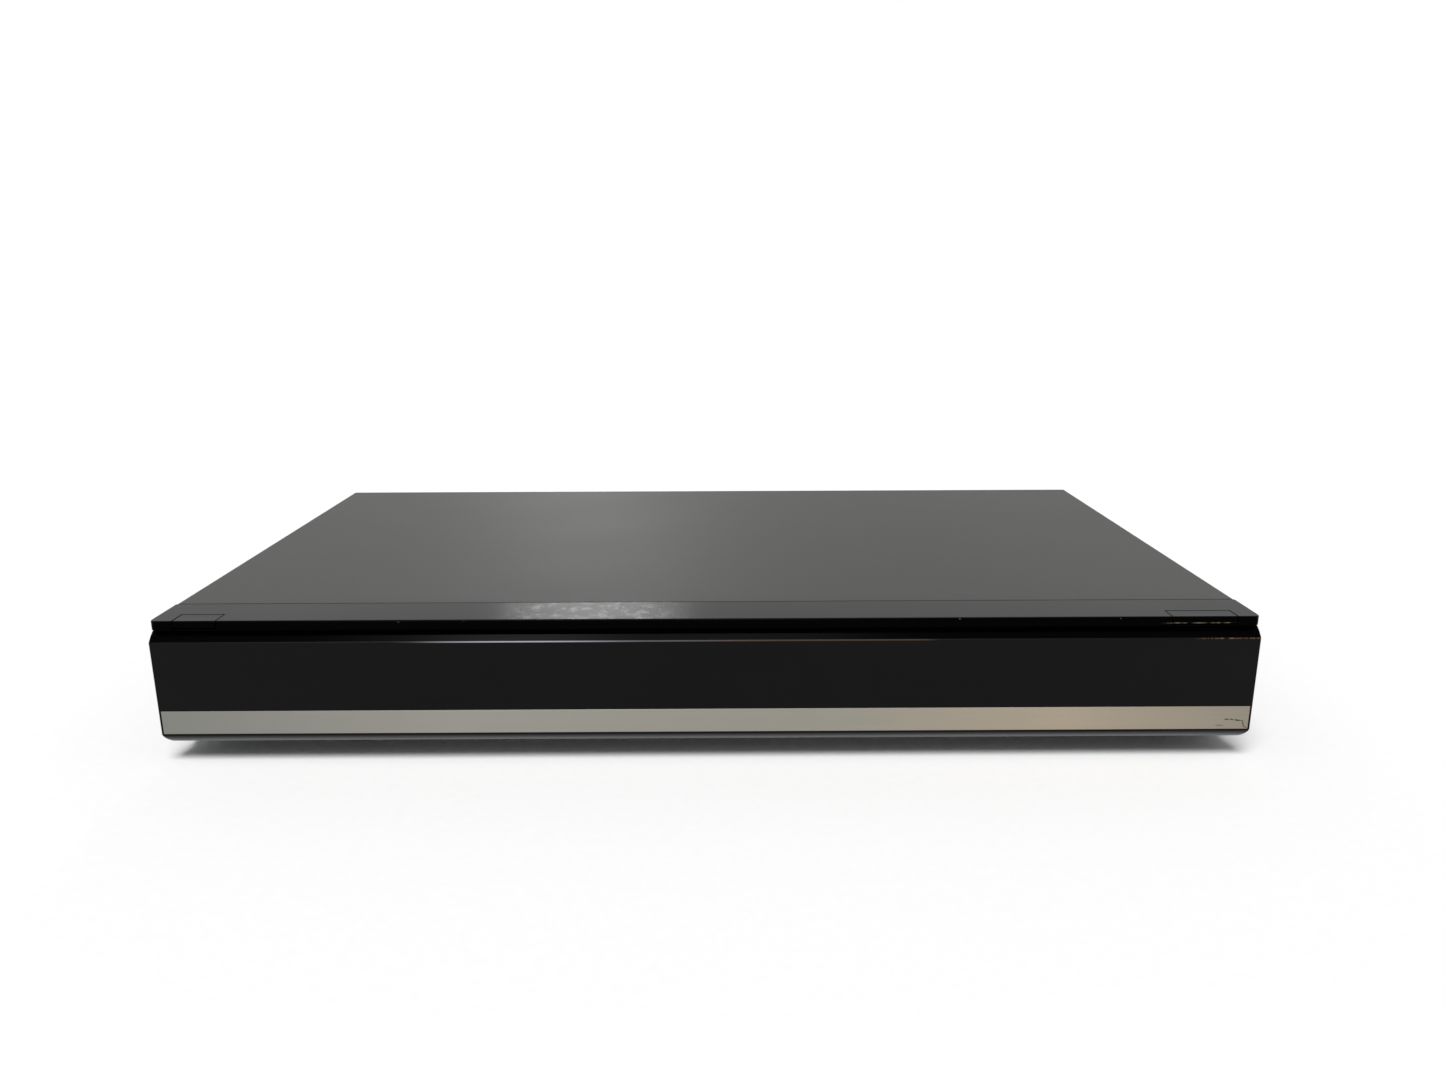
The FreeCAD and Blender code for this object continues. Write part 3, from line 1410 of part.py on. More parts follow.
def traverse_deck():
    """The pressed deck: a plate open under the pickup's path, with holders for the rods and the screw."""
    x = tray_centre_x
    h = deck_width / 2
    plan = [(x - h, deck_front, 6), (x + h, deck_front, 6), (x + h, deck_rear, 6), (x - h, deck_rear, 6)]
    plate = prism("z", eased(plan), deck_z, deck_z + deck_thick)
    way = [(x - deck_opening, sled_front + 4, 4), (x + deck_opening, sled_front + 4, 4)]
    way += [(x + deck_opening, sled_front + sled_length + sled_travel + 4, 4)]
    way += [(x - deck_opening, sled_front + sled_length + sled_travel + 4, 4)]
    opening = prism("z", eased(way), deck_z - 1, deck_z + deck_thick + 1)
    top = rod_z + rod_radius + 1.4
    holders = []
    for side in (-1, 1):
        rx = x + side * rod_spread
        for y0 in (rod_front - 3, rod_rear - 3):
            holders.append(box(rx - 3.2, rx + 3.2, y0, y0 + 6, deck_z + deck_thick, top))
    sx = x + screw_offset
    holders.append(box(sx - 3, sx + 3, screw_front - 3.5, screw_front + 1.5, deck_z + deck_thick, top))
    body = joined([plate.cut(opening)] + holders)
    slots = []
    for side in (-1, 1):
        x0 = x + side * rod_spread - rod_radius
        x1 = x0 + 2 * rod_radius
        slots.append(box(x0, x1, rod_front - 1, rod_rear + 1, rod_z - rod_radius, top + 1))
    screw_bore = rod("y", screw_front - 2, screw_front + 3, sx, rod_z, rod_radius - 0.5 + running_fit)
    return without(body, slots + [screw_bore])


def guide_rods():
    """The two ground rods that the pickup slides on."""
    places = (tray_centre_x - rod_spread, tray_centre_x + rod_spread)
    return Part.makeCompound([rod("y", rod_front - 1, rod_rear + 1, x, rod_z, rod_radius) for x in places])


def lead_screw():
    """The pickup's feed screw: threaded length between two thinner journals."""
    x = tray_centre_x + screw_offset
    journal = rod_radius - 0.5
    body = rod("y", screw_front + 1.5 + slide_gap, screw_rear - slide_gap, x, rod_z, rod_radius)
    front = rod("y", screw_front - 1.8, screw_front + 2.5, x, rod_z, journal)
    rear = rod("y", screw_rear - 1, screw_rear + 3, x, rod_z, journal)
    return joined([body, front, rear])


def sled_motor():
    """The stepping motor behind the feed screw, with its mounting plate standing on the deck."""
    x = tray_centre_x + screw_offset
    base = deck_z + deck_thick
    plate = box(x - 7, x + 7, screw_rear, screw_rear + 1.6, base, rod_z + 6)
    can = rod("y", screw_rear + 1.6, screw_rear + 13, x, rod_z + 2.2, 5.0, 12)
    hole = rod("y", screw_rear - 1, screw_rear + 4, x, rod_z, rod_radius - 0.5 + running_fit)
    return joined([plate, can]).cut(hole)


def spindle_motor():
    """The flat motor under the turntable: base plate, round case and upright shaft."""
    base = deck_z + deck_thick
    plate = box(tray_centre_x - 17, tray_centre_x + 17, disc_y - 16, disc_y + 10, base, base + 1.0)
    case = rod("z", base + 1, turntable_z - 0.8, tray_centre_x, disc_y, 12.0, 18)
    shaft = rod("z", turntable_z - 1, spindle_top - 0.6, tray_centre_x, disc_y, rod_radius)
    return joined([plate, case, shaft])


def turntable():
    """The disc's seat: a rubber-rimmed platter round a tapered centring hub."""
    rim = turntable_radius
    bore = rod_radius + running_fit
    z = turntable_z - 0.8 + slide_gap
    profile = [(bore, z), (rim - 1, z), (rim, z + 0.6), (rim, z + 3.0), (rim - 4, z + 3.0), (7.4, z + 2.6)]
    profile += [(7.3, spindle_top - 1.2), (5.6, spindle_top), (bore, spindle_top)]
    return turned(tray_centre_x, disc_y, profile, 18)


def optical_pickup():
    """The pickup sled: die-cast body on the rods, hollowed round the spindle, with its nut arm."""
    x = tray_centre_x
    rear = sled_front + sled_length
    waist = deck_opening - 2
    body = [(x - waist, sled_front, 2), (x + waist, sled_front, 2)]
    body += [(x + waist, rear, 5), (x - waist, rear, 5)]
    block = prism("z", eased(body), sled_bottom, sled_top - 1.5)
    bearings = []
    for side, y0, y1 in ((-1, sled_front + 4, sled_front + 20), (1, sled_front + 6, sled_front + 12)):
        x0, x1 = sorted((x + side * (waist - 1), x + side * (rod_spread + 3)))
        bearings.append(box(x0, x1, y0, y1, rod_z - 2.4, rod_z + 3))
    platform = rod("z", sled_top - 1.5, sled_top, x, lens_y, 7.0, 14)
    nut_y = sled_front + 8
    nut_x = x + screw_offset - rod_radius - slide_gap
    arm = box(x + rod_spread + 2, nut_x, nut_y - 2, nut_y + 2, rod_z, rod_z + 3)
    notch = rod("z", sled_bottom - 1, sled_top + 1, x, disc_y, spindle_motor_radius, 24)
    places = (x - rod_spread, x + rod_spread)
    rods = [rod("y", sled_front - 1, rear + 1, px, rod_z, rod_radius + running_fit) for px in places]
    return without(joined([block, platform, arm] + bearings), [notch] + rods)


def pickup_lens():
    """The objective lens in its square holder on top of the pickup."""
    x = tray_centre_x
    holder = box(x - 4, x + 4, lens_y - 4.5, lens_y + 4.5, sled_top, sled_top + 1.2)
    dome = turned(x, lens_y, [(0, sled_top + 1.2), (2.6, sled_top + 1.2), (0, sled_top + 2.0)], 10)
    return joined([holder, dome])


# The hard disk, the circuit boards and their parts

disk_right = disk_left + disk_width
disk_rear = disk_front + disk_length
disk_bottom = bracket_floor + 3.2
bracket_wall = 1.2
bracket_side = disk_bottom + 12.0


def hard_disk():
    """The hard disk's casting: rounded block, stepped lid over the platters, side screw bosses."""
    plan = [(disk_left, disk_front, 3), (disk_right, disk_front, 3)]
    plan += [(disk_right, disk_rear, 3), (disk_left, disk_rear, 3)]
    block = prism("z", eased(plan), disk_bottom + 3, disk_bottom + disk_height - 2)
    x = (disk_left + disk_right) / 2
    y = disk_rear - 52
    top = disk_bottom + disk_height
    lid = [(disk_left + 3, disk_front + 5, 10), (disk_right - 3, disk_front + 5, 10)]
    lid += [(disk_right - 3, disk_rear - 3, 22), (disk_left + 3, disk_rear - 3, 22)]
    cover = prism("z", eased(lid, 3), top - 2, top - 0.8)
    dish = rod("z", top - 0.8, top, x, y, 43, 32)
    hub = rod("z", top - 0.8, top + 1, x, y, 12, 16)
    arm_cap = rod("z", top - 0.8, top, disk_left + 22, disk_front + 24, 12)
    sides = (disk_left - 1, disk_right - 2)
    waist = [box(x, x + 3, disk_front + 20, disk_rear - 20, disk_bottom + 2, disk_bottom + 7) for x in sides]
    return without(joined([block, cover, dish, arm_cap]), [hub] + waist)


def hard_disk_board():
    """The small circuit board under the disk, with its connector at the rear."""
    z = disk_bottom
    board = box(disk_left + 8, disk_right - 8, disk_front + 30, disk_rear, z + 1.4, z + 3)
    chip = box(disk_left + 30, disk_left + 46, disk_front + 60, disk_front + 76, z + 0.4, z + 1.4)
    plug = box(disk_left + 12, disk_left + 58, disk_rear, disk_rear + 5, z + 0.6, z + 5.6)
    return joined([board, chip, plug])


def hard_disk_bracket():
    """The bent-steel cradle of the disk: perforated floor, two side walls, and four feet on the pan."""
    x0 = disk_left - bracket_wall
    x1 = disk_right + bracket_wall
    y0 = disk_front + 4
    y1 = disk_rear - 4
    floor = box(x0, x1, y0, y1, bracket_floor, bracket_floor + bracket_wall)
    walls = [box(a, a + bracket_wall, y0, y1, bracket_floor, bracket_side) for a in (x0, disk_right)]
    seats = [
        box(a, a + 6, y, y + 14, bracket_floor + bracket_wall, disk_bottom + 3)
        for a in (disk_left, disk_right - 6)
        for y in (y0 + 2, y1 - 16)
    ]
    legs = []
    for a, toe in ((x0, x0 - 5), (disk_right, x1)):
        for y in (y0 + 8, y1 - 20):
            legs.append(box(a, a + bracket_wall, y, y + 12, pan_top, bracket_floor))
            legs.append(box(toe, toe + 5, y, y + 12, pan_top, pan_top + bracket_wall))
    rows = row(y0 + 24, 19, 5)
    z = bracket_floor - 1
    vents = [box(disk_left + 12, disk_right - 12, y, y + 10, z, z + 3) for y in rows]
    return without(joined([floor] + walls + seats + legs), vents)


def main_board():
    """The L-shaped main board: a wide part beside the disk and a strip along the rear sockets."""
    rear = panel_inner - 1.2
    left_rear = panel_inner - fan_depth - 4
    plan = [(main_left, main_front), (main_split_x, main_front), (main_split_x, main_split_y)]
    plan += [(main_right, main_split_y), (main_right, rear), (fan_left + fan_size + 4, rear)]
    plan += [(fan_left + fan_size + 4, left_rear), (main_left, left_rear)]
    return prism("z", plan, board_bottom, board_top)


chip_places = (
    (main_left + 8, main_front + 8, 18.0),
    (main_left + 8, main_split_y - 14, 14.0),
    (main_left + 30, main_split_y - 20, 12.0),
    (main_left + 42, main_front + 6, 14.0),
    (main_split_x - 22, main_split_y - 34, 12.0),
)
sink_left = main_left + 30.0
sink_front = main_front + 30.0
sink_size = 38.0
sink_height = 20.0
sink_fins = 9
header_length = 24.0
spreader_front = power_board_front + 76.0
spreader_length = 48.0
fuse_from_rear = 33.0
fuse_length = 20.0
transformer_front = power_board_front + 34.0


def board_chips():
    """The square chips on the main board, the largest under the heat sink, and two cable headers."""
    chips = [box(x, x + s, y, y + s, board_top, board_top + 1.6) for x, y, s in chip_places]
    middle = sink_left + sink_size / 2
    depth = sink_front + sink_size / 2
    chips.append(box(middle - 15, middle + 15, depth - 15, depth + 15, board_top, board_top + 2.4))
    left = main_left + 4
    rows = (sink_front + 8, sink_front + 24)
    chips += [box(left, left + header_length, y, y + 6, board_top, board_top + 7) for y in rows]
    return Part.makeCompound(chips)


def heat_sink():
    """The finned aluminium sink on the main processor: base and fins in one comb-shaped profile."""
    z0 = board_top + 2.4
    base = z0 + 3.0
    top = z0 + sink_height
    pitch = sink_size / sink_fins
    fin = pitch * 0.36
    points = [(sink_left, z0), (sink_left + sink_size, z0)]
    for i in range(sink_fins - 1, -1, -1):
        left = sink_left + i * (sink_size - fin) / (sink_fins - 1)
        points += [(left + fin, base)] if i < sink_fins - 1 else []
        points += [(left + fin, top), (left, top)]
        points += [(left, base)] if i > 0 else []
    return prism("y", points, sink_front, sink_front + sink_size)


def power_board():
    """The mains board on its four posts, with the clamped heat spreader that cools its switch."""
    rear = panel_inner - 1.2
    board = box(power_board_left, power_board_right, power_board_front, rear, board_bottom, board_top)
    x = power_board_left + 44
    y0 = spreader_front
    y1 = y0 + spreader_length
    spreader = [(x, y0), (x + 2, y0), (x + 2, y1), (x, y1)]
    for y in (y1 - 14, y0 + 16):
        spreader += [(x, y), (x - 10, y), (x - 10, y - 2), (x, y - 2)]
    sink = prism("z", spreader, board_top, board_top + 26)
    left = power_board_left + 7
    y = rear - fuse_from_rear
    fuse = rod("x", left - 1, left - 1 + fuse_length, y, board_top + 3.5, 3.0, 8)
    ends = (left, left + fuse_length - 4)
    clips = [box(x, x + 2, y - 3, y + 3, board_top, board_top + 3) for x in ends]
    return joined([board, sink, fuse] + clips)


def transformer():
    """The mains transformer: two E-shaped core halves round a wound bobbin."""
    x = power_board_left + 18
    y = transformer_front
    z = board_top
    core = box(x - 4, x + 30, y + 8, y + 22, z + 4, z + 30)
    window = box(x + 2, x + 24, y + 7, y + 23, z + 10, z + 24)
    bobbin = box(x + 3, x + 23, y, y + 30, z, z + 33)
    windings = [(x + 1, y + 2, 5), (x + 25, y + 2, 5), (x + 25, y + 28, 5), (x + 1, y + 28, 5)]
    coil = prism("z", eased(windings), z + 11, z + 23)
    return joined([core.cut(window), bobbin, coil])


capacitor_places = (
    (power_board_left + 54, power_board_front + 22, 9.0, 32.0),
    (power_board_left + 12, power_board_front + 88, 8.0, 24.0),
    (power_board_left + 14, power_board_front + 110, 5.0, 20.0),
    (power_board_left + 56, power_board_front + 132, 5.0, 16.0),
    (power_board_left + 56, power_board_front + 146, 5.0, 16.0),
    (main_left + 70, main_front + 20, 4.0, 11.0),
    (main_left + 10, main_split_y - 24, 4.0, 9.0),
)


def capacitors():
    """Upright can capacitors with a bevelled upper rim."""
    cans = []
    for x, y, r, h in capacitor_places:
        z = board_top
        profile = [(0, z), (r, z), (r, z + h - 0.8), (r - 0.8, z + h), (0, z + h)]
        cans.append(turned(x, y, profile, 10))
    return Part.makeCompound(cans)


def board_screws():
    """Hexagonal screw heads on the boards, and whole screws through the drive's grommets."""
    head_height = 1.5
    head_radius = 2.6
    heads = [rod("z", board_top, board_top + head_height, x, y, head_radius, 6) for x, y in board_posts]
    top = lug_bottom + lug_thick + grommet_lip
    for x, y in drive_feet:
        head = rod("z", top, top + head_height, x, y, head_radius, 6)
        shank = rod("z", pan_top + 0.8, top, x, y, shank_radius - running_fit, 6)
        heads.append(joined([head, shank]))
    return Part.makeCompound(heads)


PIECES = {
    "top_cover": top_cover,
    "bottom_chassis": bottom_chassis,
    "rear_panel": rear_panel,
    "feet": feet,
    "cover_screws": cover_screws,
    "board_screws": board_screws,
    "front_frame": front_frame,
    "top_trim": top_trim,
    "power_button": lambda: trim_button(power_left, power_width, power_depth),
    "eject_button": lambda: trim_button(eject_left, eject_width, eject_depth),
    "button_boards": button_boards,
    "display_window": display_window,
    "display_board": display_board,
    "display_tube": display_tube,
    "card_slot": card_slot,
    "usb_port": usb_port,
    "front_door": front_door,
    "door_strip": door_strip,
    "door_gear": door_gear,
    "door_pivot_pins": door_pivot_pins,
    "damper_housing": damper_housing,
    "damper_pinion": damper_pinion,
    "disc_tray": disc_tray,
    "tray_bezel": tray_bezel,
    "tray_gear": tray_gear,
    "pulley_gear": pulley_gear,
    "motor_pulley": motor_pulley,
    "loading_belt": loading_belt,
    "loading_motor": loading_motor,
    "drive_chassis": drive_chassis,
    "drive_grommets": drive_grommets,
    "clamp_bridge": clamp_bridge,
    "clamper": clamper,
    "traverse_deck": traverse_deck,
    "guide_rods": guide_rods,
    "lead_screw": lead_screw,
    "sled_motor": sled_motor,
    "spindle_motor": spindle_motor,
    "turntable": turntable,
    "optical_pickup": optical_pickup,
    "pickup_lens": pickup_lens,
    "hard_disk": hard_disk,
    "hard_disk_board": hard_disk_board,
    "hard_disk_bracket": hard_disk_bracket,
    "main_board": main_board,
    "board_chips": board_chips,
    "heat_sink": heat_sink,
    "power_board": power_board,
    "transformer": transformer,
    "capacitors": capacitors,
    "power_inlet": power_inlet,
    "tuner_can": tuner_can,
    "scart_socket": scart_socket,
    "phono_sockets": phono_sockets,
    "hdmi_socket": hdmi_socket,
    "network_socket": network_socket,
    "optical_socket": optical_socket,
    "fan_frame": fan_frame,
    "fan_rotor": fan_rotor,
}

os.makedirs("parts", exist_ok=True)
for piece_name, make in PIECES.items():
    save(piece_name, make())
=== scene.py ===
# %% [markdown]
# # A disc recorder whose whole front is one door
#
# The CAD model already holds the whole machine: the folded steel case, the moulded front with its
# fold-down door, the tray and its drive, the boards and the sockets. This notebook keeps that model
# as a fixed frame and gives it its looks. The few parts that the eye rests on, the door, the bright
# strip, the top trim, the two keys, the painted cover and the feet, are made again as finer surfaces.
# Everything else keeps its CAD shape and gets a finish worked out from nodes.

import json
import math

import bmesh
import bpy
import numpy as np
from mathutils import Matrix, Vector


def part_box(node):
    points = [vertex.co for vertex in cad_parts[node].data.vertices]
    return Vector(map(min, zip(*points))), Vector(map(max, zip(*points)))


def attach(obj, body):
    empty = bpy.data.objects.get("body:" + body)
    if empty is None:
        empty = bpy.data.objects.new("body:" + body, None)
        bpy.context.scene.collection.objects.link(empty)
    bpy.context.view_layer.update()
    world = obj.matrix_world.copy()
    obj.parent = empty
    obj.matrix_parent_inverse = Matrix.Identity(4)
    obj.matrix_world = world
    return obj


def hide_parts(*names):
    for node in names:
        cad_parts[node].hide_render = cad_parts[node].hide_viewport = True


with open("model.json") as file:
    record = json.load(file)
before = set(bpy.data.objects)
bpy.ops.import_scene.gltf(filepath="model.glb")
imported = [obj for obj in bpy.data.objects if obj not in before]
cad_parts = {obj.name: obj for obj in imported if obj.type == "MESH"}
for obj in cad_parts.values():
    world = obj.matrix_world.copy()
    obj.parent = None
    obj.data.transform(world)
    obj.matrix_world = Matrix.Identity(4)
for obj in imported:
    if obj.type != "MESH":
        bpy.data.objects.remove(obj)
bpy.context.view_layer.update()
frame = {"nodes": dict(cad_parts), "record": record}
nodes = frame["nodes"]
front_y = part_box("front_door")[0].y
print("nodes:", len(nodes), " front plane at y =", round(front_y, 5))

# %% [markdown]
# ## The camera
#
# A pinhole camera was fitted to the machine's own straight edges in the photograph: the four corners of
# the top, the strip and the door's ledge. It stands about 39 cm in front of the door and 19 cm above
# the table and looks down by 14.6 degrees. Such a near camera is why the front looks so much wider than
# the back. Three small turns, one after the other, give its right, down and forward directions.

# %% Place the camera
image_width, focal_pixels, sensor_width = 1445, 1059.84, 36.0
camera_place = np.array([4.93, -386.15, 190.16])
pitch, yaw, roll = 0.2550, 0.0040, -0.0034


def turn(angle, first, second):
    """The matrix of a turn by an angle in the plane of two of the three axes."""
    matrix = np.eye(3)
    matrix[first, first] = matrix[second, second] = math.cos(angle)
    matrix[second, first], matrix[first, second] = math.sin(angle), -math.sin(angle)
    return matrix


def to_frame(points):
    """Millimetres measured from the door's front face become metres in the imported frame."""
    return np.asarray(points, float) * 0.001 + np.array([0.0, front_y, 0.0])


def stand(name, data, columns=None):
    """A new object in the scene; three directions and a place, where given, are its matrix's columns."""
    made = bpy.data.objects.new(name, data)
    if columns is not None:
        made.matrix_world = Matrix([*np.column_stack(columns).tolist(), [0, 0, 0, 1]])
    bpy.context.scene.collection.objects.link(made)
    return made


# The axes' swap takes x to right, minus z to down and y to forward.
swap = np.array([[1, 0, 0], [0, 0, -1], [0, 1, 0]])
right, down, forward = turn(roll, 0, 1) @ turn(pitch, 1, 2) @ turn(yaw, 0, 2) @ swap
view = bpy.data.cameras.new("view")
view.sensor_width = sensor_width
view.sensor_fit = "HORIZONTAL"
view.lens = sensor_width * focal_pixels / image_width
view.clip_start, view.clip_end = 0.01, 100.0
bpy.context.scene.camera = stand("camera", view, [right, -down, -forward, to_frame(camera_place)])
print("lens:", round(view.lens, 2), "mm, camera at", np.round(to_frame(camera_place), 4))

# %% [markdown]
# ## Shader sums written as sums
#
# A finish is mostly arithmetic, and drawn as nodes such a sum fills a screen. So one small class stands
# for a socket and overloads the operators, and a sum in the code adds its Math nodes. Its partner, the
# bench, holds a material's tree and makes every other node with one method.

# %% A socket that can be added and multiplied
class Wire:
    """One output socket. Each operator adds the Math node that does the same."""

    def __init__(self, bench, socket):
        self.bench = bench
        self.socket = socket

    def __add__(self, other):
        return self.bench.sum("ADD", self, other)

    def __sub__(self, other):
        return self.bench.sum("SUBTRACT", self, other)

    def __rsub__(self, other):
        return self.bench.sum("SUBTRACT", other, self)

    def __mul__(self, other):
        return self.bench.sum("MULTIPLY", self, other)

    def __truediv__(self, other):
        return self.bench.sum("DIVIDE", self, other)

    def __pow__(self, other):
        return self.bench.sum("POWER", self, other)

    def __abs__(self):
        return self.bench.sum("ABSOLUTE", self)

    def under(self, other):
        """The smaller of the two."""
        return self.bench.sum("MINIMUM", self, other)

    def over(self, other):
        """The larger of the two."""
        return self.bench.sum("MAXIMUM", self, other)

    def wave(self):
        """The sine."""
        return self.bench.sum("SINE", self)

    def step(self, low, high):
        """Rises softly from 0 to 1 as the value goes from low to high."""
        settings = {"interpolation_type": "SMOOTHSTEP"}
        return self.bench.node("MapRange", settings, {"Value": self, "From Min": low, "From Max": high})


# %% The bench that holds a material's nodes
# A black with hardly a gleam, for faces that see nothing but the dark of the room: painted shade that
# stands in for the dark room they would mirror.
painted_shade_black = {"Base Color": (0.0009, 0.0009, 0.0011, 1.0), "Roughness": 0.15, "Specular IOR Level": 0.009}


class Bench:
    """A material, or a world, under construction: its tree, and the one method that makes nodes in it."""

    def __init__(self, name, world=False):
        self.owner = (bpy.data.worlds if world else bpy.data.materials).new(name)
        self.owner.use_nodes = True
        self.tree = self.owner.node_tree
        self.tree.nodes.clear()

    def node(self, kind, settings=None, values=None, out=0):
        """Adds a node: its settings, ramp stops among them, then its sockets' numbers, web colours or wires.

        Where out is a tuple, it gives back that many wires.
        """
        made = self.tree.nodes.new("ShaderNode" + kind)
        for key, value in (settings or {}).items():
            if key == "stops":
                ramp = made.color_ramp.elements
                for element, (place, colour) in zip((ramp[0], ramp[1]), value):
                    element.position, element.color = place, shade(colour)
                for place, colour in value[2:]:
                    ramp.new(place).color = shade(colour)
            else:
                setattr(made, key, value)
        for key, value in (values or {}).items():
            if isinstance(value, Wire):
                self.tree.links.new(value.socket, made.inputs[key])
            else:
                made.inputs[key].default_value = shade(value) if isinstance(value, str) else value
        if isinstance(out, tuple):
            return [Wire(self, made.outputs[key]) for key in out]
        return Wire(self, made.outputs[out]) if made.outputs else None

    def sum(self, operation, *terms):
        """A Math node over numbers and wires."""
        return self.node("Math", {"operation": operation}, dict(enumerate(terms)))

    def mix(self, amount, first, second):
        """From the first colour to the second as amount goes from 0 to 1."""
        return self.node("Mix", {"data_type": "RGBA"}, {0: amount, 6: first, 7: second}, out=2)

    def place(self, stretch=(1.0, 1.0, 1.0), shift=(0.0, 0.0, 0.0)):
        """The point on the object in metres, moved and stretched by a Mapping node."""
        here = self.node("TexCoord", out="Object")
        return self.node("Mapping", None, {"Vector": here, "Location": shift, "Scale": stretch})

    def axes(self):
        """The point on the object as three numbers in metres."""
        return self.node("SeparateXYZ", None, {0: self.node("TexCoord", out="Object")}, out=(0, 1, 2))

    def noise(self, size, detail=2.0, roughness=0.5, stretch=(1.0, 1.0, 1.0), shift=(0.0, 0.0, 0.0)):
        """Cloudy noise from 0 to 1 whose lumps are about size metres across."""
        return self.node("TexNoise", None, {
            "Vector": self.place(stretch, shift), "Scale": 1.0 / size, "Detail": detail, "Roughness": roughness})

    def bump(self, height, depth, strength=1.0):
        """A normal tilted by a height from 0 to 1 that stands for depth metres."""
        return self.node("Bump", None, {"Height": height, "Distance": depth, "Strength": strength})

    def finish(self, colour, rough, unlit=None, **sockets):
        """The Principled shader. As unlit goes from 0 to 1, it gives way to the black of painted shade."""
        values = {key.replace("_", " "): value for key, value in sockets.items()}
        values.update({"Base Color": colour, "Roughness": rough})
        shader = self.node("BsdfPrincipled", None, values)
        if unlit is not None:
            dull = self.node("BsdfPrincipled", None, painted_shade_black)
            shader = self.node("MixShader", None, {0: unlit, 1: shader, 2: dull})
        self.node("OutputMaterial", None, {"Surface": shader})
        return self.owner


def shade(text):
    """A colour written as a web value, such as 8c8a82, in the linear numbers that shaders take."""
    part = np.array([int(text[i:i + 2], 16) for i in (0, 2, 4)]) / 255.0
    linear = np.where(part <= 0.04045, part / 12.92, ((part + 0.055) / 1.055) ** 2.4)
    return (*linear.tolist(), 1.0)


def tone(text, factor):
    """A web colour in linear numbers, lighter or darker by a factor."""
    return (*[min(part * factor, 1.0) for part in shade(text)[:3]], 1.0)


print("a mid grey in linear numbers:", round(shade("6b6b69")[0], 4))

# %% [markdown]
# ## Finishes: the painted case and bare steel
#
# Satin baked paint is never even: it has a soft cloudiness a few centimetres across, a much finer fleck,
# and the shallow waves that painters call orange peel. All three are noise at different sizes: the
# first two go into the colour, the peel into a bump of a few micrometres.
# Plated sheet is metal, and its crystals show as angular patches, which a Voronoi texture gives.

# %% Baked satin paint
def baked_paint():
    """Satin grey paint, a little darker in a broad band of painted shade that runs back just right of the
    middle.
    """
    b = Bench("baked_paint")
    x, _, _ = b.axes()
    cloud = b.noise(0.055, 3.0, 0.55)
    fleck = b.noise(0.0035, 2.0, 0.6, shift=(0.3, 0.1, 0.0))
    # The band is painted shade: it copies how the light falls across the top, not a change in the paint.
    band = 1.0 - abs(x - 0.045).step(0.03, 0.15)
    amount = (cloud - 0.5) * 0.5 + (fleck - 0.5) * 0.3 - band * 0.2 + 0.68
    colour = b.mix(amount, "353533", "474746")
    rough = (cloud - 0.5) * 0.08 + fleck * 0.06 + 0.5
    peel = b.bump(b.noise(0.0011, 3.0, 0.6), 0.00001, 0.6)
    return b.finish(colour, rough, Specular_IOR_Level=0.16, Normal=peel)


# %% Zinc-plated and bright steel
def plated_sheet(name, colour, patch=0.004, rough=0.34):
    """Metal whose brightness changes from one angular crystal patch to the next."""
    b = Bench(name)
    crystals = b.node("TexVoronoi", None, {"Vector": b.place(), "Scale": 1.0 / patch}, out="Color")
    level = b.node("RGBToBW", None, {0: crystals})
    rolling = b.noise(0.0008, 2.0, 0.6, stretch=(0.05, 1.0, 1.0))
    amount = level * 0.5 + rolling * 0.5
    tint = b.mix(amount, tone(colour, 0.84), tone(colour, 1.08))
    roughness = level * 0.12 + rolling * 0.06 + rough - 0.08
    return b.finish(tint, roughness, Metallic=0.9, Normal=b.bump(rolling, 0.000004, 0.5))


def turned_metal(name, colour, rough=0.25):
    """Screws, rods and pulleys: metal with fine turning marks and a little tarnish."""
    b = Bench(name)
    marks = b.noise(0.00025, 1.0, 0.5, stretch=(1.0, 0.15, 1.0))
    tarnish = b.noise(0.004, 3.0, 0.6)
    tint = b.mix(tarnish * 0.7 + marks * 0.3, tone(colour, 0.78), tone(colour, 1.1))
    roughness = tarnish * 0.14 + marks * 0.06 + rough - 0.06
    return b.finish(tint, roughness, Metallic=1.0, Normal=b.bump(marks, 0.000003, 0.5))


# %% [markdown]
# ## Finishes: mouldings
#
# A moulding copies its tool. A spark-eroded tool leaves a fine matt grain, a polished one leaves gloss
# in which only wipe marks and hairline scratches show. One function makes the plain mouldings, which
# differ by the size and depth of the grain. The door and the trim are polished and carry marks of their
# own, so each has a function to itself.

# %% Grained and smooth mouldings
def moulded(name, colour, rough=0.5, grain=0.0004, depth=0.000012, drift=0.1, clear=0.5):
    """Plastic with a tool's grain: its size and depth in metres, and how far the colour drifts."""
    b = Bench(name)
    pits = b.noise(grain, 3.0, 0.65)
    flow = b.noise(0.018, 2.0, 0.5)
    tint = b.mix(flow * 0.7 + pits * 0.3, tone(colour, 1 - drift), tone(colour, 1 + drift))
    roughness = pits * 0.12 + flow * 0.06 + rough - 0.09
    return b.finish(tint, roughness, Specular_IOR_Level=clear, Normal=b.bump(pits, depth, 0.8))


# %% The polished black of the door
# Along the front edge of the door's ledge runs a thin line of painted highlight, where the lamp's reflection
# would fall. It is brightest left of the middle, faint over the rest of the middle, coppery towards the right,
# and breaks into short dashes near the right end.
ledge_height = 0.0501
gleam_middle, gleam_core, gleam_end = -0.072, 0.005, 0.052
curl_low, curl_high = 0.0088, 0.0119


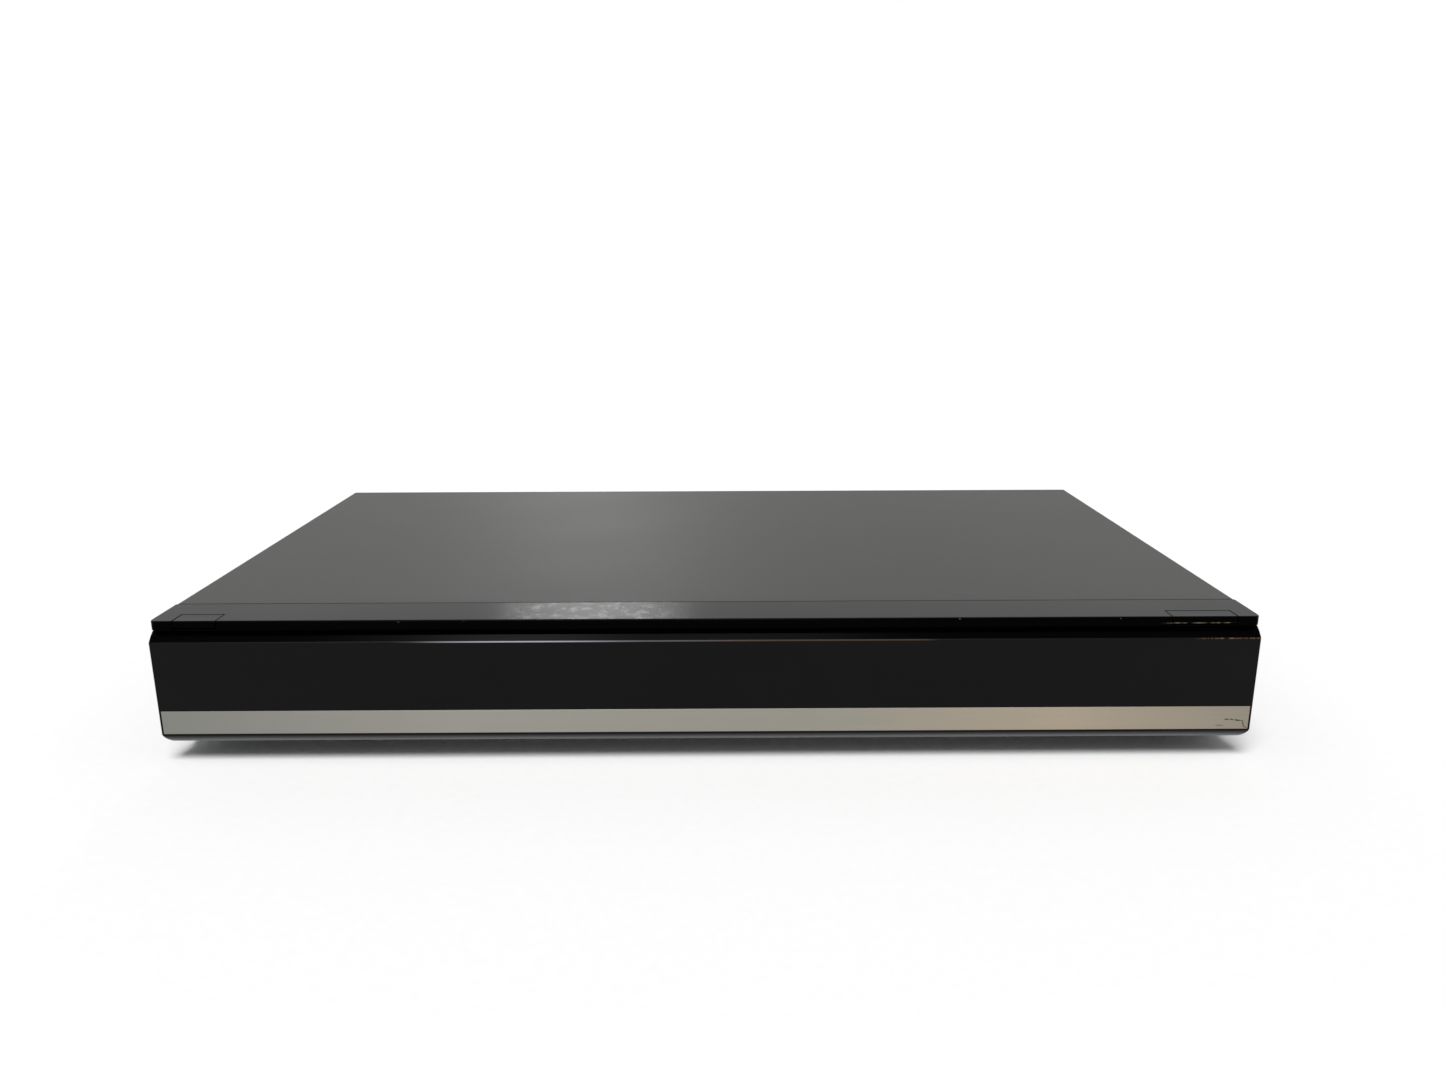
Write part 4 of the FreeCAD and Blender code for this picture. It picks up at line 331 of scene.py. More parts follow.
def door_black():
    """Polished black, grey where it curls under and dull on the shoulder that leans away above the ledge.

    The grey is a painted reflection of the white floor, and the dull shoulder is painted shade.
    """
    b = Bench("door_black")
    x, y, z = b.axes()
    wipes = b.noise(0.03, 3.0, 0.55, stretch=(0.4, 1.0, 1.0))
    hair = b.noise(0.0007, 2.0, 0.6, stretch=(0.03, 1.0, 1.0))
    in_front = 1.0 - (y - front_y).step(0.001, 0.0015)
    edge = (1.0 - abs(z - ledge_height).step(0.0001, 0.0004)) * in_front
    # gleam, faint and dashes shape the painted highlight along the ledge's front edge.
    gleam = 1.0 - abs(x - gleam_middle).step(gleam_core, gleam_end)
    faint = x.step(-0.115, -0.098) * (1.0 - x.step(0.082, 0.092)) * 0.22
    dashes = b.noise(0.0022, 3.0, 0.7, stretch=(1.0, 0.0, 0.0)).step(0.42, 0.6)
    line = edge * (gleam * 0.7 + faint).over(x.step(0.188, 0.198) * dashes * 0.5)
    curl = 1.0 - z.step(curl_low, curl_high)
    black = b.mix(wipes * 0.6 + hair * 0.4, "09090a", "101011")
    # The grey of the curl is a painted reflection of the white floor, which the curled black edge would mirror.
    black_and_floor_reflection = b.mix(curl, black, "6f7072")
    # metal is the painted highlight's colour, not a metal part: bluish white, turning coppery to the right.
    metal = b.mix(x.step(-0.03, 0.03), "a9a9b4", "8c6c54")
    colour = b.mix(line, black_and_floor_reflection, metal)
    rough = wipes * 0.05 + hair * 0.04 + edge * 0.2 + curl * 0.25 + 0.07
    # leans marks the shoulder, mixed to the black of painted shade, a little less where the lamp's highlight
    # falls.
    leans = z.step(ledge_height + 0.0001, ledge_height + 0.0004) * (1.0 - gleam * 0.15)
    return b.finish(colour, rough, leans, Specular_IOR_Level=0.08, Normal=b.bump(hair, 0.000001, 0.3))


# %% The polished black of the trim
# On top the trim is dulled by a residue left of the middle, where its paler colour is also a painted sheen
# of the lamp's reflection, and it is darker in streaks near both ends.
# Its front edge has a few tiny chips, and the lip below the right key is worn to bare plastic. Its
# front face and the walls of the gaps round the keys see only the dark, so they are painted shade.
def trim_black():
    """Polished black with its dulled patch, chips and worn lip. Heights and depths are in metres.

    The patch's paler colour is partly a painted sheen, and the faces that see only the dark are painted shade.
    """
    b = Bench("trim_black")
    x, y, z = b.axes()
    depth = y - front_y
    wipes = b.noise(0.02, 3.0, 0.6, stretch=(0.5, 1.0, 1.0))
    hair = b.noise(0.0006, 2.0, 0.6, stretch=(0.05, 1.0, 1.0))
    patch = x.step(-0.082, -0.074) * (1.0 - x.step(-0.012, -0.004))
    residue_and_sheen = patch * b.noise(0.006, 4.0, 0.7).step(0.3, 0.55) * 0.8
    tint = b.mix(wipes * 0.6 + hair * 0.4, "0c0c0c", "141413")
    # The patch sits where the lamp's reflection falls: the residue's roughness is real, its paler colour a
    # painted sheen.
    dulled = b.mix(residue_and_sheen * 0.06, tint, "5b5b59")
    on_edge = (1.0 - abs(depth - 0.0003).step(0.0003, 0.0006)) * z.step(0.058, 0.0584)
    chips = b.noise(0.0016, 2.0, 0.7, stretch=(0.6, 0.3, 1.0)).step(0.72, 0.75) * on_edge
    under_key = x.step(0.174, 0.18) * (1.0 - x.step(0.2, 0.206))
    lip = (1.0 - abs(z - 0.05645).step(0.0001, 0.00035)) * (1.0 - depth.step(0.0001, 0.0006)) * under_key
    rubbed = b.noise(0.004, 3.0, 0.6, stretch=(1.0, 0.0, 0.0)).step(0.35, 0.6)
    bare = (lip * rubbed).over(chips)
    colour = b.mix(bare * 0.8, dulled, "857a6c")
    # dark marks the faces that get the black of painted shade: the front face and the walls below the top.
    dark = (1.0 - depth.step(0.0002, 0.0007)).over(1.0 - z.step(0.0574, 0.0582)) * (1.0 - bare)
    rough = wipes * 0.07 + hair * 0.05 + residue_and_sheen * 0.12 + 0.14
    # Near both ends the top is also mixed a little, in streaks, towards the black used for painted shade.
    unlit = dark.over(abs(x).step(0.165, 0.2) * (wipes * 0.12 + 0.04))
    return b.finish(colour, rough, unlit, Specular_IOR_Level=0.07, Normal=b.bump(hair, 0.0000015, 0.4))


# %% [markdown]
# ## Finishes: the brushed strip
#
# The strip is thin metal brushed along its length, so its noise is drawn out 250 times along x. Its silver
# changes along its length and turns a little warmer towards the right: a painted reflection of the room
# over the metal's own colour. Near its right end it is scratched: a row of short dashes and a hook are
# laid over the brushing there.

# %% Brushed metal with scratches near the right end
# The ramp's two ends come first, because a new ramp has them already.
strip_reach = 0.214
# The stops paint the strip's changing reflection along its length over its silver.
silver_and_reflection_stops = [(0.0, "92928c"), (1.0, "a0998b")]
silver_and_reflection_stops += [(0.27, "a9a69e"), (0.6, "a6a398"), (0.83, "bbad99")]
# Start and end of each scratch as (x, z) in metres, then how dark it is.
scratches = [
    ((0.2046, 0.0163), (0.2058, 0.01635), 0.9), ((0.2066, 0.0163), (0.2077, 0.01615), 0.8),
    ((0.2086, 0.0160), (0.2101, 0.0158), 1.0), ((0.2101, 0.0158), (0.2115, 0.0157), 0.5),
    ((0.2115, 0.0157), (0.2121, 0.0134), 0.65), ((0.2121, 0.0134), (0.2132, 0.0127), 0.6),
    ((0.2013, 0.0137), (0.2038, 0.01375), 0.45)]


def stroke(x, z, start, end, width=0.00036):
    """How far a point lies on a straight scratch: 1 on its line, 0 from width away.

    With d = end - start, the nearest point is start + t d, where t = (point - start).d / d.d, kept
    between 0 and 1.
    """
    dx, dz = end[0] - start[0], end[1] - start[1]
    t = (((x - start[0]) * dx + (z - start[1]) * dz) / (dx * dx + dz * dz)).over(0.0).under(1.0)
    off_x, off_z = x - start[0] - t * dx, z - start[1] - t * dz
    return 1.0 - ((off_x * off_x + off_z * off_z) ** 0.5).step(width * 0.3, width)


def brushed_strip():
    """Metal whose colour follows a ramp of painted reflection from the left end to the right one, under its
    brushing.
    """
    b = Bench("brushed_strip")
    x, _, z = b.axes()
    lines = b.noise(0.00016, 3.0, 0.7, stretch=(0.004, 1.0, 1.0))
    bands = b.noise(0.0012, 2.0, 0.5, stretch=(0.01, 0.0, 1.0))
    patchy = b.noise(0.03, 3.0, 0.6, stretch=(1.0, 0.2, 1.0))
    silver_and_reflection = b.node("ValToRGB", {"stops": silver_and_reflection_stops}, {"Fac": (x + strip_reach) / (2.0 * strip_reach)})
    worked = b.mix(lines * 0.55 + bands * 0.25 + patchy * 0.2, "d9d9d9", "f6f6f6")
    multiply = {"data_type": "RGBA", "blend_type": "MULTIPLY"}
    worked = b.node("Mix", multiply, {0: 1.0, 6: silver_and_reflection, 7: worked}, out=2)
    scratch = 0.0
    for start, end, depth in scratches:
        scratch = (stroke(x, z, start, end) * depth).over(scratch)
    colour = b.mix(scratch, worked, "1c1a17")
    rough = lines * 0.16 + patchy * 0.08 + scratch * 0.2 + 0.3
    return b.finish(colour, rough, Metallic=0.85, Normal=b.bump(lines, 0.000006, 0.6))


# %% [markdown]
# ## Finishes: boards, chips and small parts
#
# The copper under a circuit board's lacquer shows as slightly paler tracks that run along and across,
# with round pads between them. Two sets of bars broken up by a coarse noise give the tracks, and the
# centres of Voronoi cells give the pads. The rest are quiet surfaces with a fine grain or wipe marks.

# %% Circuit boards
def circuit_board(name, lacquer, copper, pad):
    """Lacquer over tracks that are bars of a sine along and across, with pads at the cells' centres."""
    b = Bench(name)
    x, y, _ = b.axes()
    region = b.noise(0.011, 1.0, 0.3)
    along = (x * 3700.0).wave().step(0.35, 0.75)
    across = (y * 3700.0).wave().step(0.35, 0.75)
    which = region.step(0.46, 0.5)
    gone = b.noise(0.005, 2.0, 0.5, shift=(0.0, 0.4, 0.0)).step(0.5, 0.56)
    tracks = (along * which + across * (1.0 - which)) * gone
    cells = {"Vector": b.place(), "Scale": 300.0, "Randomness": 0.55}
    dots = b.node("TexVoronoi", {"feature": "F1"}, cells, out="Distance")
    pads = (1.0 - dots.step(0.16, 0.22)) * b.noise(0.02, 1.0, 0.5).step(0.44, 0.5)
    ground = b.mix(region, tone(lacquer, 0.85), tone(lacquer, 1.1))
    traced = b.mix(tracks * 0.75, ground, copper)
    colour = b.mix(pads, traced, pad)
    rough = 0.38 - pads * 0.1 + region * 0.06
    return b.finish(colour, rough, Metallic=pads * 0.7, Normal=b.bump(tracks + pads, 0.00003, 0.5))


# %% Cast and extruded aluminium
def cast_alloy(name, colour, rough=0.42):
    """Sand-like casting skin: a coarse and a fine grain together, over slight staining."""
    b = Bench(name)
    skin = b.noise(0.0005, 4.0, 0.7)
    stain = b.noise(0.012, 3.0, 0.6)
    tint = b.mix(stain * 0.6 + skin * 0.4, tone(colour, 0.82), tone(colour, 1.08))
    roughness = skin * 0.14 + stain * 0.08 + rough - 0.1
    return b.finish(tint, roughness, Metallic=0.85, Normal=b.bump(skin, 0.00002, 0.6))


# %% Smoked window and display glass
def smoked_window():
    """Nearly black glass, wiped from side to side."""
    b = Bench("smoked_window")
    wipes = b.noise(0.012, 3.0, 0.6, stretch=(0.5, 1.0, 1.0))
    tint = b.mix(wipes, "0b0a0d", "17151a")
    return b.finish(tint, wipes * 0.06 + 0.05, Specular_IOR_Level=0.3)


def display_glass():
    """A dark tube behind whose face a faint grid of lit cells can be made out."""
    b = Bench("display_glass")
    x, _, z = b.axes()
    cells = (x * 2400.0).wave().step(-0.2, 0.3) * (z * 2400.0).wave().step(-0.2, 0.3)
    colour = b.mix(cells, "101416", "26332f")
    return b.finish(colour, cells * 0.1 + 0.12)


# %% Lens: a blue-violet coating over clear glass
def coated_lens():
    """The coating is bluer seen face on and more violet seen from the side."""
    b = Bench("coated_lens")
    tilt = b.node("Fresnel", None, {"IOR": 1.6})
    sheen = b.noise(0.002, 1.0, 0.4)
    colour = b.mix(tilt * 0.6 + sheen * 0.3, "26324a", "5a4a7a")
    return b.finish(colour, sheen * 0.04 + 0.06, Coat_Weight=0.5)


# %% [markdown]
# ## Which part has which finish
#
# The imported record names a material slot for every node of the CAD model. One finish is made for each
# slot and put on all its nodes.

# %% Socket plastic with three coloured rings
def socket_plastic():
    """Black sockets. The three round jacks are ringed yellow, white and red from the top down."""
    b = Bench("socket_plastic")
    x, y, z = b.axes()
    low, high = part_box("phono_sockets")
    upper, lower = high[2] - 0.0121, high[2] - 0.0241
    outside = 1.0 - abs(x - (low[0] + high[0]) / 2).step(0.005, 0.0055)
    ring = outside * y.step(high[1] - 0.0045, high[1] - 0.0043)
    pits = b.noise(0.0004, 3.0, 0.65)
    lower_pair = b.mix(z.step(lower - 0.0003, lower + 0.0003), "8f2421", "cfcdc6")
    rings = b.mix(z.step(upper - 0.0003, upper + 0.0003), lower_pair, "c29b22")
    black = b.mix(pits, "141416", "1d1d1f")
    return b.finish(b.mix(ring, black, rings), pits * 0.12 + 0.4, Normal=b.bump(pits, 0.00001, 0.8))


# %% One finish for each slot
# Most finishes are a row for one of four functions: the colour, then its other numbers.
recipes = {
    plated_sheet: {
        "zinc_sheet": ("b4b6b6",),
        "motor_steel": ("a9abad", 0.002, 0.26),
        "socket_metal": ("b2b3b4", 0.0015, 0.3),
    },
    turned_metal: {
        "pin_steel": ("c4c5c6", 0.2),
        "pulley_brass": ("b79a5a", 0.28),
    },
    cast_alloy: {
        "pickup_alloy": ("8d9094",),
        "disk_alloy": ("a4a6a8", 0.36),
        "sink_aluminium": ("b9bbbd", 0.38),
    },
    moulded: {
        "foot_plastic": ("1f1f1f", 0.62, 0.0003, 0.00002),
        "frame_plastic": ("232324", 0.52, 0.0004, 0.000016),
        "gear_nylon": ("d9d6c8", 0.42, 0.0006, 0.000004, 0.05),
        "damper_black": ("1a1a1c", 0.4, 0.0005, 0.000006),
        "tray_plastic": ("1c1c1e", 0.46, 0.00045, 0.00001),
        "drive_plastic": ("2c2c2e", 0.5, 0.0005, 0.000012),
        "belt_rubber": ("161616", 0.75, 0.00025, 0.00003, 0.15, 0.3),
        "clamp_plastic": ("cfccc2", 0.45, 0.0005, 0.000006, 0.06),
        "platter_rubber": ("202022", 0.7, 0.0003, 0.00003, 0.12, 0.3),
        "chip_black": ("1b1b1d", 0.55, 0.0003, 0.00001),
        "transformer_tape": ("c8a53a", 0.35, 0.0012, 0.00002, 0.08),
        "capacitor_sleeve": ("20242e", 0.3, 0.002, 0.000006, 0.12),
        "fan_plastic": ("1d1d1f", 0.45, 0.0004, 0.00001),
    },
}
finishes = {slot: make(slot, *row) for make, rows in recipes.items() for slot, row in rows.items()}
finishes.update({
    "cover_paint": baked_paint(), "trim_gloss": trim_black(), "door_gloss": door_black(),
    "strip_metal": brushed_strip(), "socket_black": socket_plastic(), "lens_glass": coated_lens(),
    "window_smoke": smoked_window(), "display_glass": display_glass(),
    "cover_screw_steel": turned_metal("black_screws", "3a3a3a", 0.4),
    "screw_steel": turned_metal("bright_screws", "bcbdbb"),
    "board_green": circuit_board("board_green", "1f5a33", "3b7f45", "c9c9bf"),
    "board_tan": circuit_board("board_tan", "b08a4e", "c39c5e", "c9c6b8"),
})
slot_of = {part["node"]: part["material_slot"] for part in frame["record"]["subparts"]}
for name, piece in nodes.items():
    piece.data.materials.clear()
    piece.data.materials.append(finishes[slot_of[name]])
print("finishes:", len(finishes), " nodes painted:", len(slot_of))

# %% [markdown]
# ## Three ways to make a surface
#
# Every new piece here is one of three kinds. A *loft* is a closed outline that is carried along a line
# and may change from one station to the next. A *plate* is a sheet on a grid of cut lines, each point
# with a top and a bottom height, from which whole cells can be left out. A *turning* is an outline spun
# about an upright axis. All are computed as whole arrays of points, and one function puts the arrays
# into a mesh, merges points that fall together, and turns the faces outwards.

# %% From arrays to a finished piece
def settle(name, points, faces, body, slot, replaced, crease=32.0):
    """Makes a piece of points in millimetres from the door's front, and of arrays of faces.

    Edges sharper than crease degrees stay sharp in smooth shading.
    """
    mesh = bpy.data.meshes.new(name)
    mesh.from_pydata(to_frame(points).tolist(), [], [face for some in faces for face in some.tolist()])
    made = bmesh.new()
    made.from_mesh(mesh)
    bmesh.ops.remove_doubles(made, verts=made.verts, dist=1e-6)
    bmesh.ops.dissolve_degenerate(made, edges=made.edges, dist=1e-7)
    bmesh.ops.delete(made, geom=[point for point in made.verts if not point.link_faces], context="VERTS")
    bmesh.ops.recalc_face_normals(made, faces=made.faces)
    made.to_mesh(mesh)
    made.free()
    mesh.shade_smooth()
    mesh.set_sharp_from_angle(angle=math.radians(crease))
    mesh.materials.append(finishes[slot])
    piece = stand(name, mesh)
    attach(piece, body)
    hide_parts(*replaced)
    print(name, "points:", len(mesh.vertices), " faces:", len(mesh.polygons))


def merged(*parts):
    """Several (points, faces) pairs as one."""
    starts = np.cumsum([0] + [len(points) for points, _ in parts[:-1]])
    points = np.concatenate([points for points, _ in parts])
    return points, [some + start for (_, faces), start in zip(parts, starts) for some in faces]


def corners_of(node):
    """A CAD node's lowest and highest corners, in millimetres from the door's front."""
    low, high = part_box(node)
    back = np.array([0.0, front_y, 0.0])
    return (np.array(low) - back) * 1000.0, (np.array(high) - back) * 1000.0


# %% An outline with rounded corners
def softened(corners, cuts=6, guard=0.02):
    """A closed outline from corners (u, v, radius), each turned into an arc that touches both its sides.

    The arc starts radius / tan(half the corner's angle) from the corner, and its centre is
    radius / sin(half the angle) away along the bisector. A guard point just beyond each end of an arc
    keeps the flat sides flat in smooth shading. Every corner gives cuts + 3 points.
    """
    table = np.array(corners, float)
    here, radius = table[:, :2], table[:, 2:]
    sides = np.array([np.roll(here, 1, 0), np.roll(here, -1, 0)]) - here
    lengths = np.linalg.norm(sides, axis=2, keepdims=True)
    sides /= lengths
    half = np.arccos(np.clip((sides[0] * sides[1]).sum(1, keepdims=True), -1, 1)) / 2
    reach = radius / np.tan(half)
    middle = sides[0] + sides[1]
    middle /= np.maximum(np.linalg.norm(middle, axis=1, keepdims=True), 1e-9)
    centre = here + middle * radius / np.sin(half)
    first, last = (here + sides * reach - centre)[:, :, None]
    share = np.linspace(0, 1, cuts + 1)[None, :, None]
    sweep = np.pi - 2 * half[:, None]
    blend = np.sin((1 - share) * sweep) * first + np.sin(share * sweep) * last
    arc = centre[:, None] + blend / np.maximum(np.sin(sweep), 1e-9)
    before, after = (here + sides * (reach + np.minimum(guard, 0.2 * lengths)))[:, :, None]
    return np.concatenate([before, arc, after], axis=1).reshape(-1, 2)


# %% Loft, plate and turning
def ring_at(x, outline):
    """An outline in (y, z) as a ring of points at x."""
    return np.column_stack([np.full(len(outline), x), outline])


def loft(rings):
    """Rings of points, (stations, around, 3), joined by a skin and closed at both ends by a fan."""
    count, around, _ = rings.shape
    i = np.arange(count - 1)[:, None]
    j = np.arange(around)[None, :]
    k = (j + 1) % around
    here, ahead = i * around, (i + 1) * around
    skin = np.stack([here + j, here + k, ahead + k, ahead + j], -1).reshape(-1, 4)
    points = np.concatenate([rings.reshape(-1, 3), rings[[0, -1]].mean(axis=1)])
    j, k = j[0], k[0]
    hub = np.full(around, count * around)
    last = (count - 1) * around
    near = np.stack([hub, k, j], -1)
    far = np.stack([hub + 1, last + j, last + k], -1)
    return points, [skin, near, far]


def plate(us, vs, top, bottom, solid=None):
    """A sheet over the grid of cut lines us and vs. Where solid is given it says which cells are there.

    The points are (u, v, top) and (u, v, bottom), and a height that is the same everywhere may be one
    number. Each solid cell gives an upper and a lower face, and each edge between a solid cell and an
    empty one gives an upright wall.
    """
    nu, nv = len(us), len(vs)
    solid = np.ones((nu - 1, nv - 1), bool) if solid is None else solid
    u, v = np.meshgrid(us, vs, indexing="ij")
    points = np.concatenate([np.stack([u, v, h + 0 * u], -1).reshape(-1, 3) for h in (top, bottom)])
    under = nu * nv
    i, j = np.nonzero(solid)
    a, b, c, d = i * nv + j, (i + 1) * nv + j, (i + 1) * nv + j + 1, i * nv + j + 1
    faces = [np.stack([a, b, c, d], -1), np.stack([d, c, b, a], -1) + under]
    padded = np.pad(solid, 1)
    for start, end, step in ((a, b, (0, -1)), (b, c, (1, 0)), (c, d, (0, 1)), (d, a, (-1, 0))):
        open_side = ~padded[i + 1 + step[0], j + 1 + step[1]]
        s, e = start[open_side], end[open_side]
        faces.append(np.stack([s, s + under, e + under, e], -1))
    return points, faces


def turning(outline, x, y, sides):
    """An outline of (radius, z) pairs spun about the upright axis at x, y.

    The points are (x + radius cos a, y + radius sin a, z) for evenly spread angles a.
    """
    r, z = np.array(outline, float).T
    angle = np.linspace(0, 2 * np.pi, sides, endpoint=False)
    around = [x + np.outer(r, np.cos(angle)), y + np.outer(r, np.sin(angle)), np.outer(z, np.ones(sides))]
    return loft(np.stack(around, -1))


def bead(distance, radius):
    """How far a rounded edge lies below the corner's level at a distance from its side: a quarter circle."""
    inside = np.clip(radius - np.asarray(distance, float), 0, radius)
    return radius - np.sqrt(radius ** 2 - inside ** 2)


def close_steps(radius, count=7):
    """Distances from an edge that draw a quarter circle of this radius, and one just past it.

    They are radius (1 - cos a) for evenly spread angles a, so they crowd towards the edge.
    """
    return np.append(radius * (1 - np.cos(np.linspace(0, np.pi / 2, count))), radius + 0.02)


def cut_lines(*groups):
    """Groups of numbers as one rising row of different numbers."""
    return np.unique(np.round(np.hstack(groups), 9))


# %% [markdown]
# ## The door
#
# The door is one long moulding: a flat polished face, a shoulder that slopes back to its top edge, a
# curled lower edge, and a ribbed back. It has nearly the same section everywhere, so it is a loft along
# x. Three things change on the way and give the stations: the outline draws in at the two ends, the
# groove for the bright strip stops just short of them, and the back is hollow between ribs. Where there
# is no groove or hollow, its corners are simply laid flat.

# %% The door's section and its stations
door_low, door_high = corners_of("front_door")
door_half = door_high[0]
door_bottom, door_top = door_low[2], door_high[2]
door_depth, shoulder = 5.0, 4.5
door_front_top = door_top - shoulder
strip_low, strip_high = corners_of("door_strip")
end_round, corner_round, top_round = 0.8, 4.0, 1.6
pocket_floor, pocket_low, pocket_high = 2.4, strip_low[2] + 2.0, door_front_top - 3.0
# The back's ribs stand 44 mm apart, out to 176 mm from the middle.
rib_reach, rib_pitch, rib_half, pocket_count = 176.0, 44.0, 1.5, 4
strip_room, past_rounding = 0.05, 6.0


def door_section(grooved, hollow):
    """The outline in (y, z): from the top over the shoulder and down the face, then up the ribbed back."""
    groove = strip_high[1] if grooved else 0.0
    floor = pocket_floor if hollow else door_depth
    nook = 0.5 if hollow else 0.0
    rim = 0.12 if grooved else 0.0
    return softened([
        (door_depth, door_top, 0.1), (4.0, door_top - 0.15, 1.6), (2.1, door_top - 1.8, 5.0),
        (0.0, door_front_top, 0.3), (0.0, strip_high[2], rim), (groove, strip_high[2] - 0.001, 0.0),
        (groove, strip_low[2] + 0.001, 0.0), (0.0, strip_low[2], rim), (0.0, door_bottom, 3.3),
        (door_depth, door_bottom, 0.3), (door_depth + 0.001, pocket_low, 0.0),
        (floor, pocket_low + 0.002, nook), (floor, pocket_high - 0.002, nook),
        (door_depth + 0.001, pocket_high, 0.0)])


def drawn_in(section, distance):
    """The section at a distance from the door's end: face, curl and shoulder draw in, each by its bead."""
    y, z = section.T
    low = strip_low[2]
    back = bead(distance, end_round) * np.clip(1 - y / door_depth, 0, 1)
    rise = bead(distance, corner_round) * np.clip((low - z) / (low - door_bottom), 0, 1)
    drop = bead(distance, top_round) * np.clip((z - door_front_top) / shoulder, 0, 1)
    return np.stack([y + back, z + rise - drop], -1)


def half_stations():
    """From the left end to the middle: (distance from the end, grooved, hollow)."""
    groove_start = door_half + strip_low[0] - strip_room
    rounding = cut_lines(close_steps(corner_round, 10), close_steps(top_round), close_steps(end_round))
    ends = [(d, False, False) for d in rounding[rounding < groove_start]]
    ends += [(groove_start, False, False), (groove_start, True, False)]
    ends += [(d, True, False) for d in rounding[rounding > groove_start]] + [(past_rounding, True, False)]
    for rib in door_half - rib_reach + rib_pitch * np.arange(pocket_count):
        start, end = rib + rib_half, rib + rib_pitch - rib_half
        ends += [(start, True, False), (start, True, True), (end, True, True), (end, True, False)]
    return ends


stations = [(d - door_half, d, g, h) for d, g, h in half_stations()]
stations += [(-x, d, g, h) for x, d, g, h in reversed(stations)]
rings = [ring_at(x, drawn_in(door_section(g, h), d)) for x, d, g, h in stations]
door_shell = loft(np.array(rings))
print("door stations:", len(stations), " points around:", len(rings[0]))

# %% [markdown]
# The door turns on two ears at the back of its lower corners. Each is a short bar whose outline is a
# square that ends in a half circle round the pin, with its edges taken off.

# %% The hinge ears
pivot_y, pivot_z, ear_radius, ear_width = 9.0, 12.0, 3.0, 2.8
pin_beyond_ear = 2.7
ear_root, ear_bend = door_depth - 0.3, ear_radius - 0.01


def bar(outline, start, end, edge=0.25):
    """An outline in (y, z) carried along x from start to end, a little smaller at both faces: a chamfer."""
    middle = outline.mean(0)
    reach = np.abs(outline - middle).max()
    smaller = 1 - edge / reach
    stops = [(start, smaller), (start + edge, 1.0), (end - edge, 1.0), (end, smaller)]
    return loft(np.array([ring_at(x, middle + (outline - middle) * k) for x, k in stops]))


ear = softened([
    (ear_root, pivot_z - ear_radius, 0.1), (pivot_y + ear_radius, pivot_z - ear_radius, ear_bend),
    (pivot_y + ear_radius, pivot_z + ear_radius, ear_bend), (ear_root, pivot_z + ear_radius, 0.1)], 10)
ear_end = corners_of("door_pivot_pins")[1][0] - pin_beyond_ear
ears = [bar(ear, start, start + ear_width) for start in (-ear_end, ear_end - ear_width)]
settle("door_shell", *merged(door_shell, *ears), "door", "door_gloss", ["front_door"])

# %% [markdown]
# ## The bright strip
#
# The strip is a bar of thin metal let into the door, flush with its face. Its long edges are barely
# broken and its ends are eased, so it is a loft along x of a small rectangle that draws back at the ends.

# %% Loft the strip
strip_half, strip_end_round = strip_high[0], 0.6
strip_face = softened([
    (strip_high[1], strip_low[2], 0.0), (strip_high[1], strip_high[2], 0.0), (0.0, strip_high[2], 0.14),
    (0.0, strip_low[2], 0.14)], 4)
strip_steps = np.append(close_steps(strip_end_round), [2.0, 60.0, 120.0, 180.0])
strip_x = cut_lines(strip_steps - strip_half, strip_half - strip_steps)
strip_in = bead(strip_half - np.abs(strip_x), strip_end_round)
drawn_back = np.column_stack([1 - strip_face[:, 0] / strip_high[1], np.zeros(len(strip_face))])
strip = [ring_at(x, strip_face + inward * drawn_back) for x, inward in zip(strip_x, strip_in)]
settle("bright_strip", *loft(np.array(strip)), "door", "strip_metal", ["door_strip"])

# %% [markdown]
# ## The top trim and its two keys
#
# The trim is a shallow moulded tray along the top front edge. Seen from above it is a rectangle with
# two rounded front corners and a notch for each key, so it is a plate: cut lines run where something
# changes, heights are a function of place, and the notches are cells left out. The little bridge of
# lip below each key is a separate small plate in the same piece.

# %% Plate the trim
# The photograph shows the trim a little longer at each end than its solid is.
shown_longer = 0.5
trim_low, trim_high = corners_of("top_trim")
trim_high[0] += shown_longer
key_gap, face_height, key_floor = 0.42, 2.65, 0.65
notch_backs = {"power_button": 8.6, "eject_button": 7.8}
notches = []
for name, back in notch_backs.items():
    low, high = corners_of(name)
    notches.append((low[0] - key_gap, high[0] + key_gap, back))
lip_rise, lip_depth, trim_wall, hollow_back = 0.3, 5.5, 1.6, trim_high[1] - 1.0
front_bead, rear_bead, side_bead = 0.8, 0.3, 0.5
trim_corner, corner_share = 2.8, 5.5
# A step in height is drawn by two cut lines a hair apart.
hair = 0.01


def trim_heights(u, v):
    """The trim's top and underside over (x, y): beads along the edges above, a hollow within lips below."""
    top = trim_high[2] - bead(v, front_bead) - bead(trim_high[1] - v, rear_bead)
    top = top - bead(trim_high[0] - np.abs(u), side_bead)
    inner = trim_high[0] - trim_wall - hair / 2
    hollow = (np.abs(u) < inner) & (v > trim_wall + hair / 2) & (v < hollow_back - hair / 2)
    return top, np.where(hollow, trim_high[2] - trim_wall, trim_low[2] + lip_rise * (v < lip_depth))


def rounded_front(points):
    """Draws the two front corners in, in plan: x comes inwards by a quarter circle as y nears the front."""
    x, y, z = points.T
    share = np.clip((np.abs(x) - trim_high[0] + corner_share) / corner_share, 0, 1)
    return np.stack([x - np.sign(x) * bead(y, trim_corner) * share, y, z], -1)


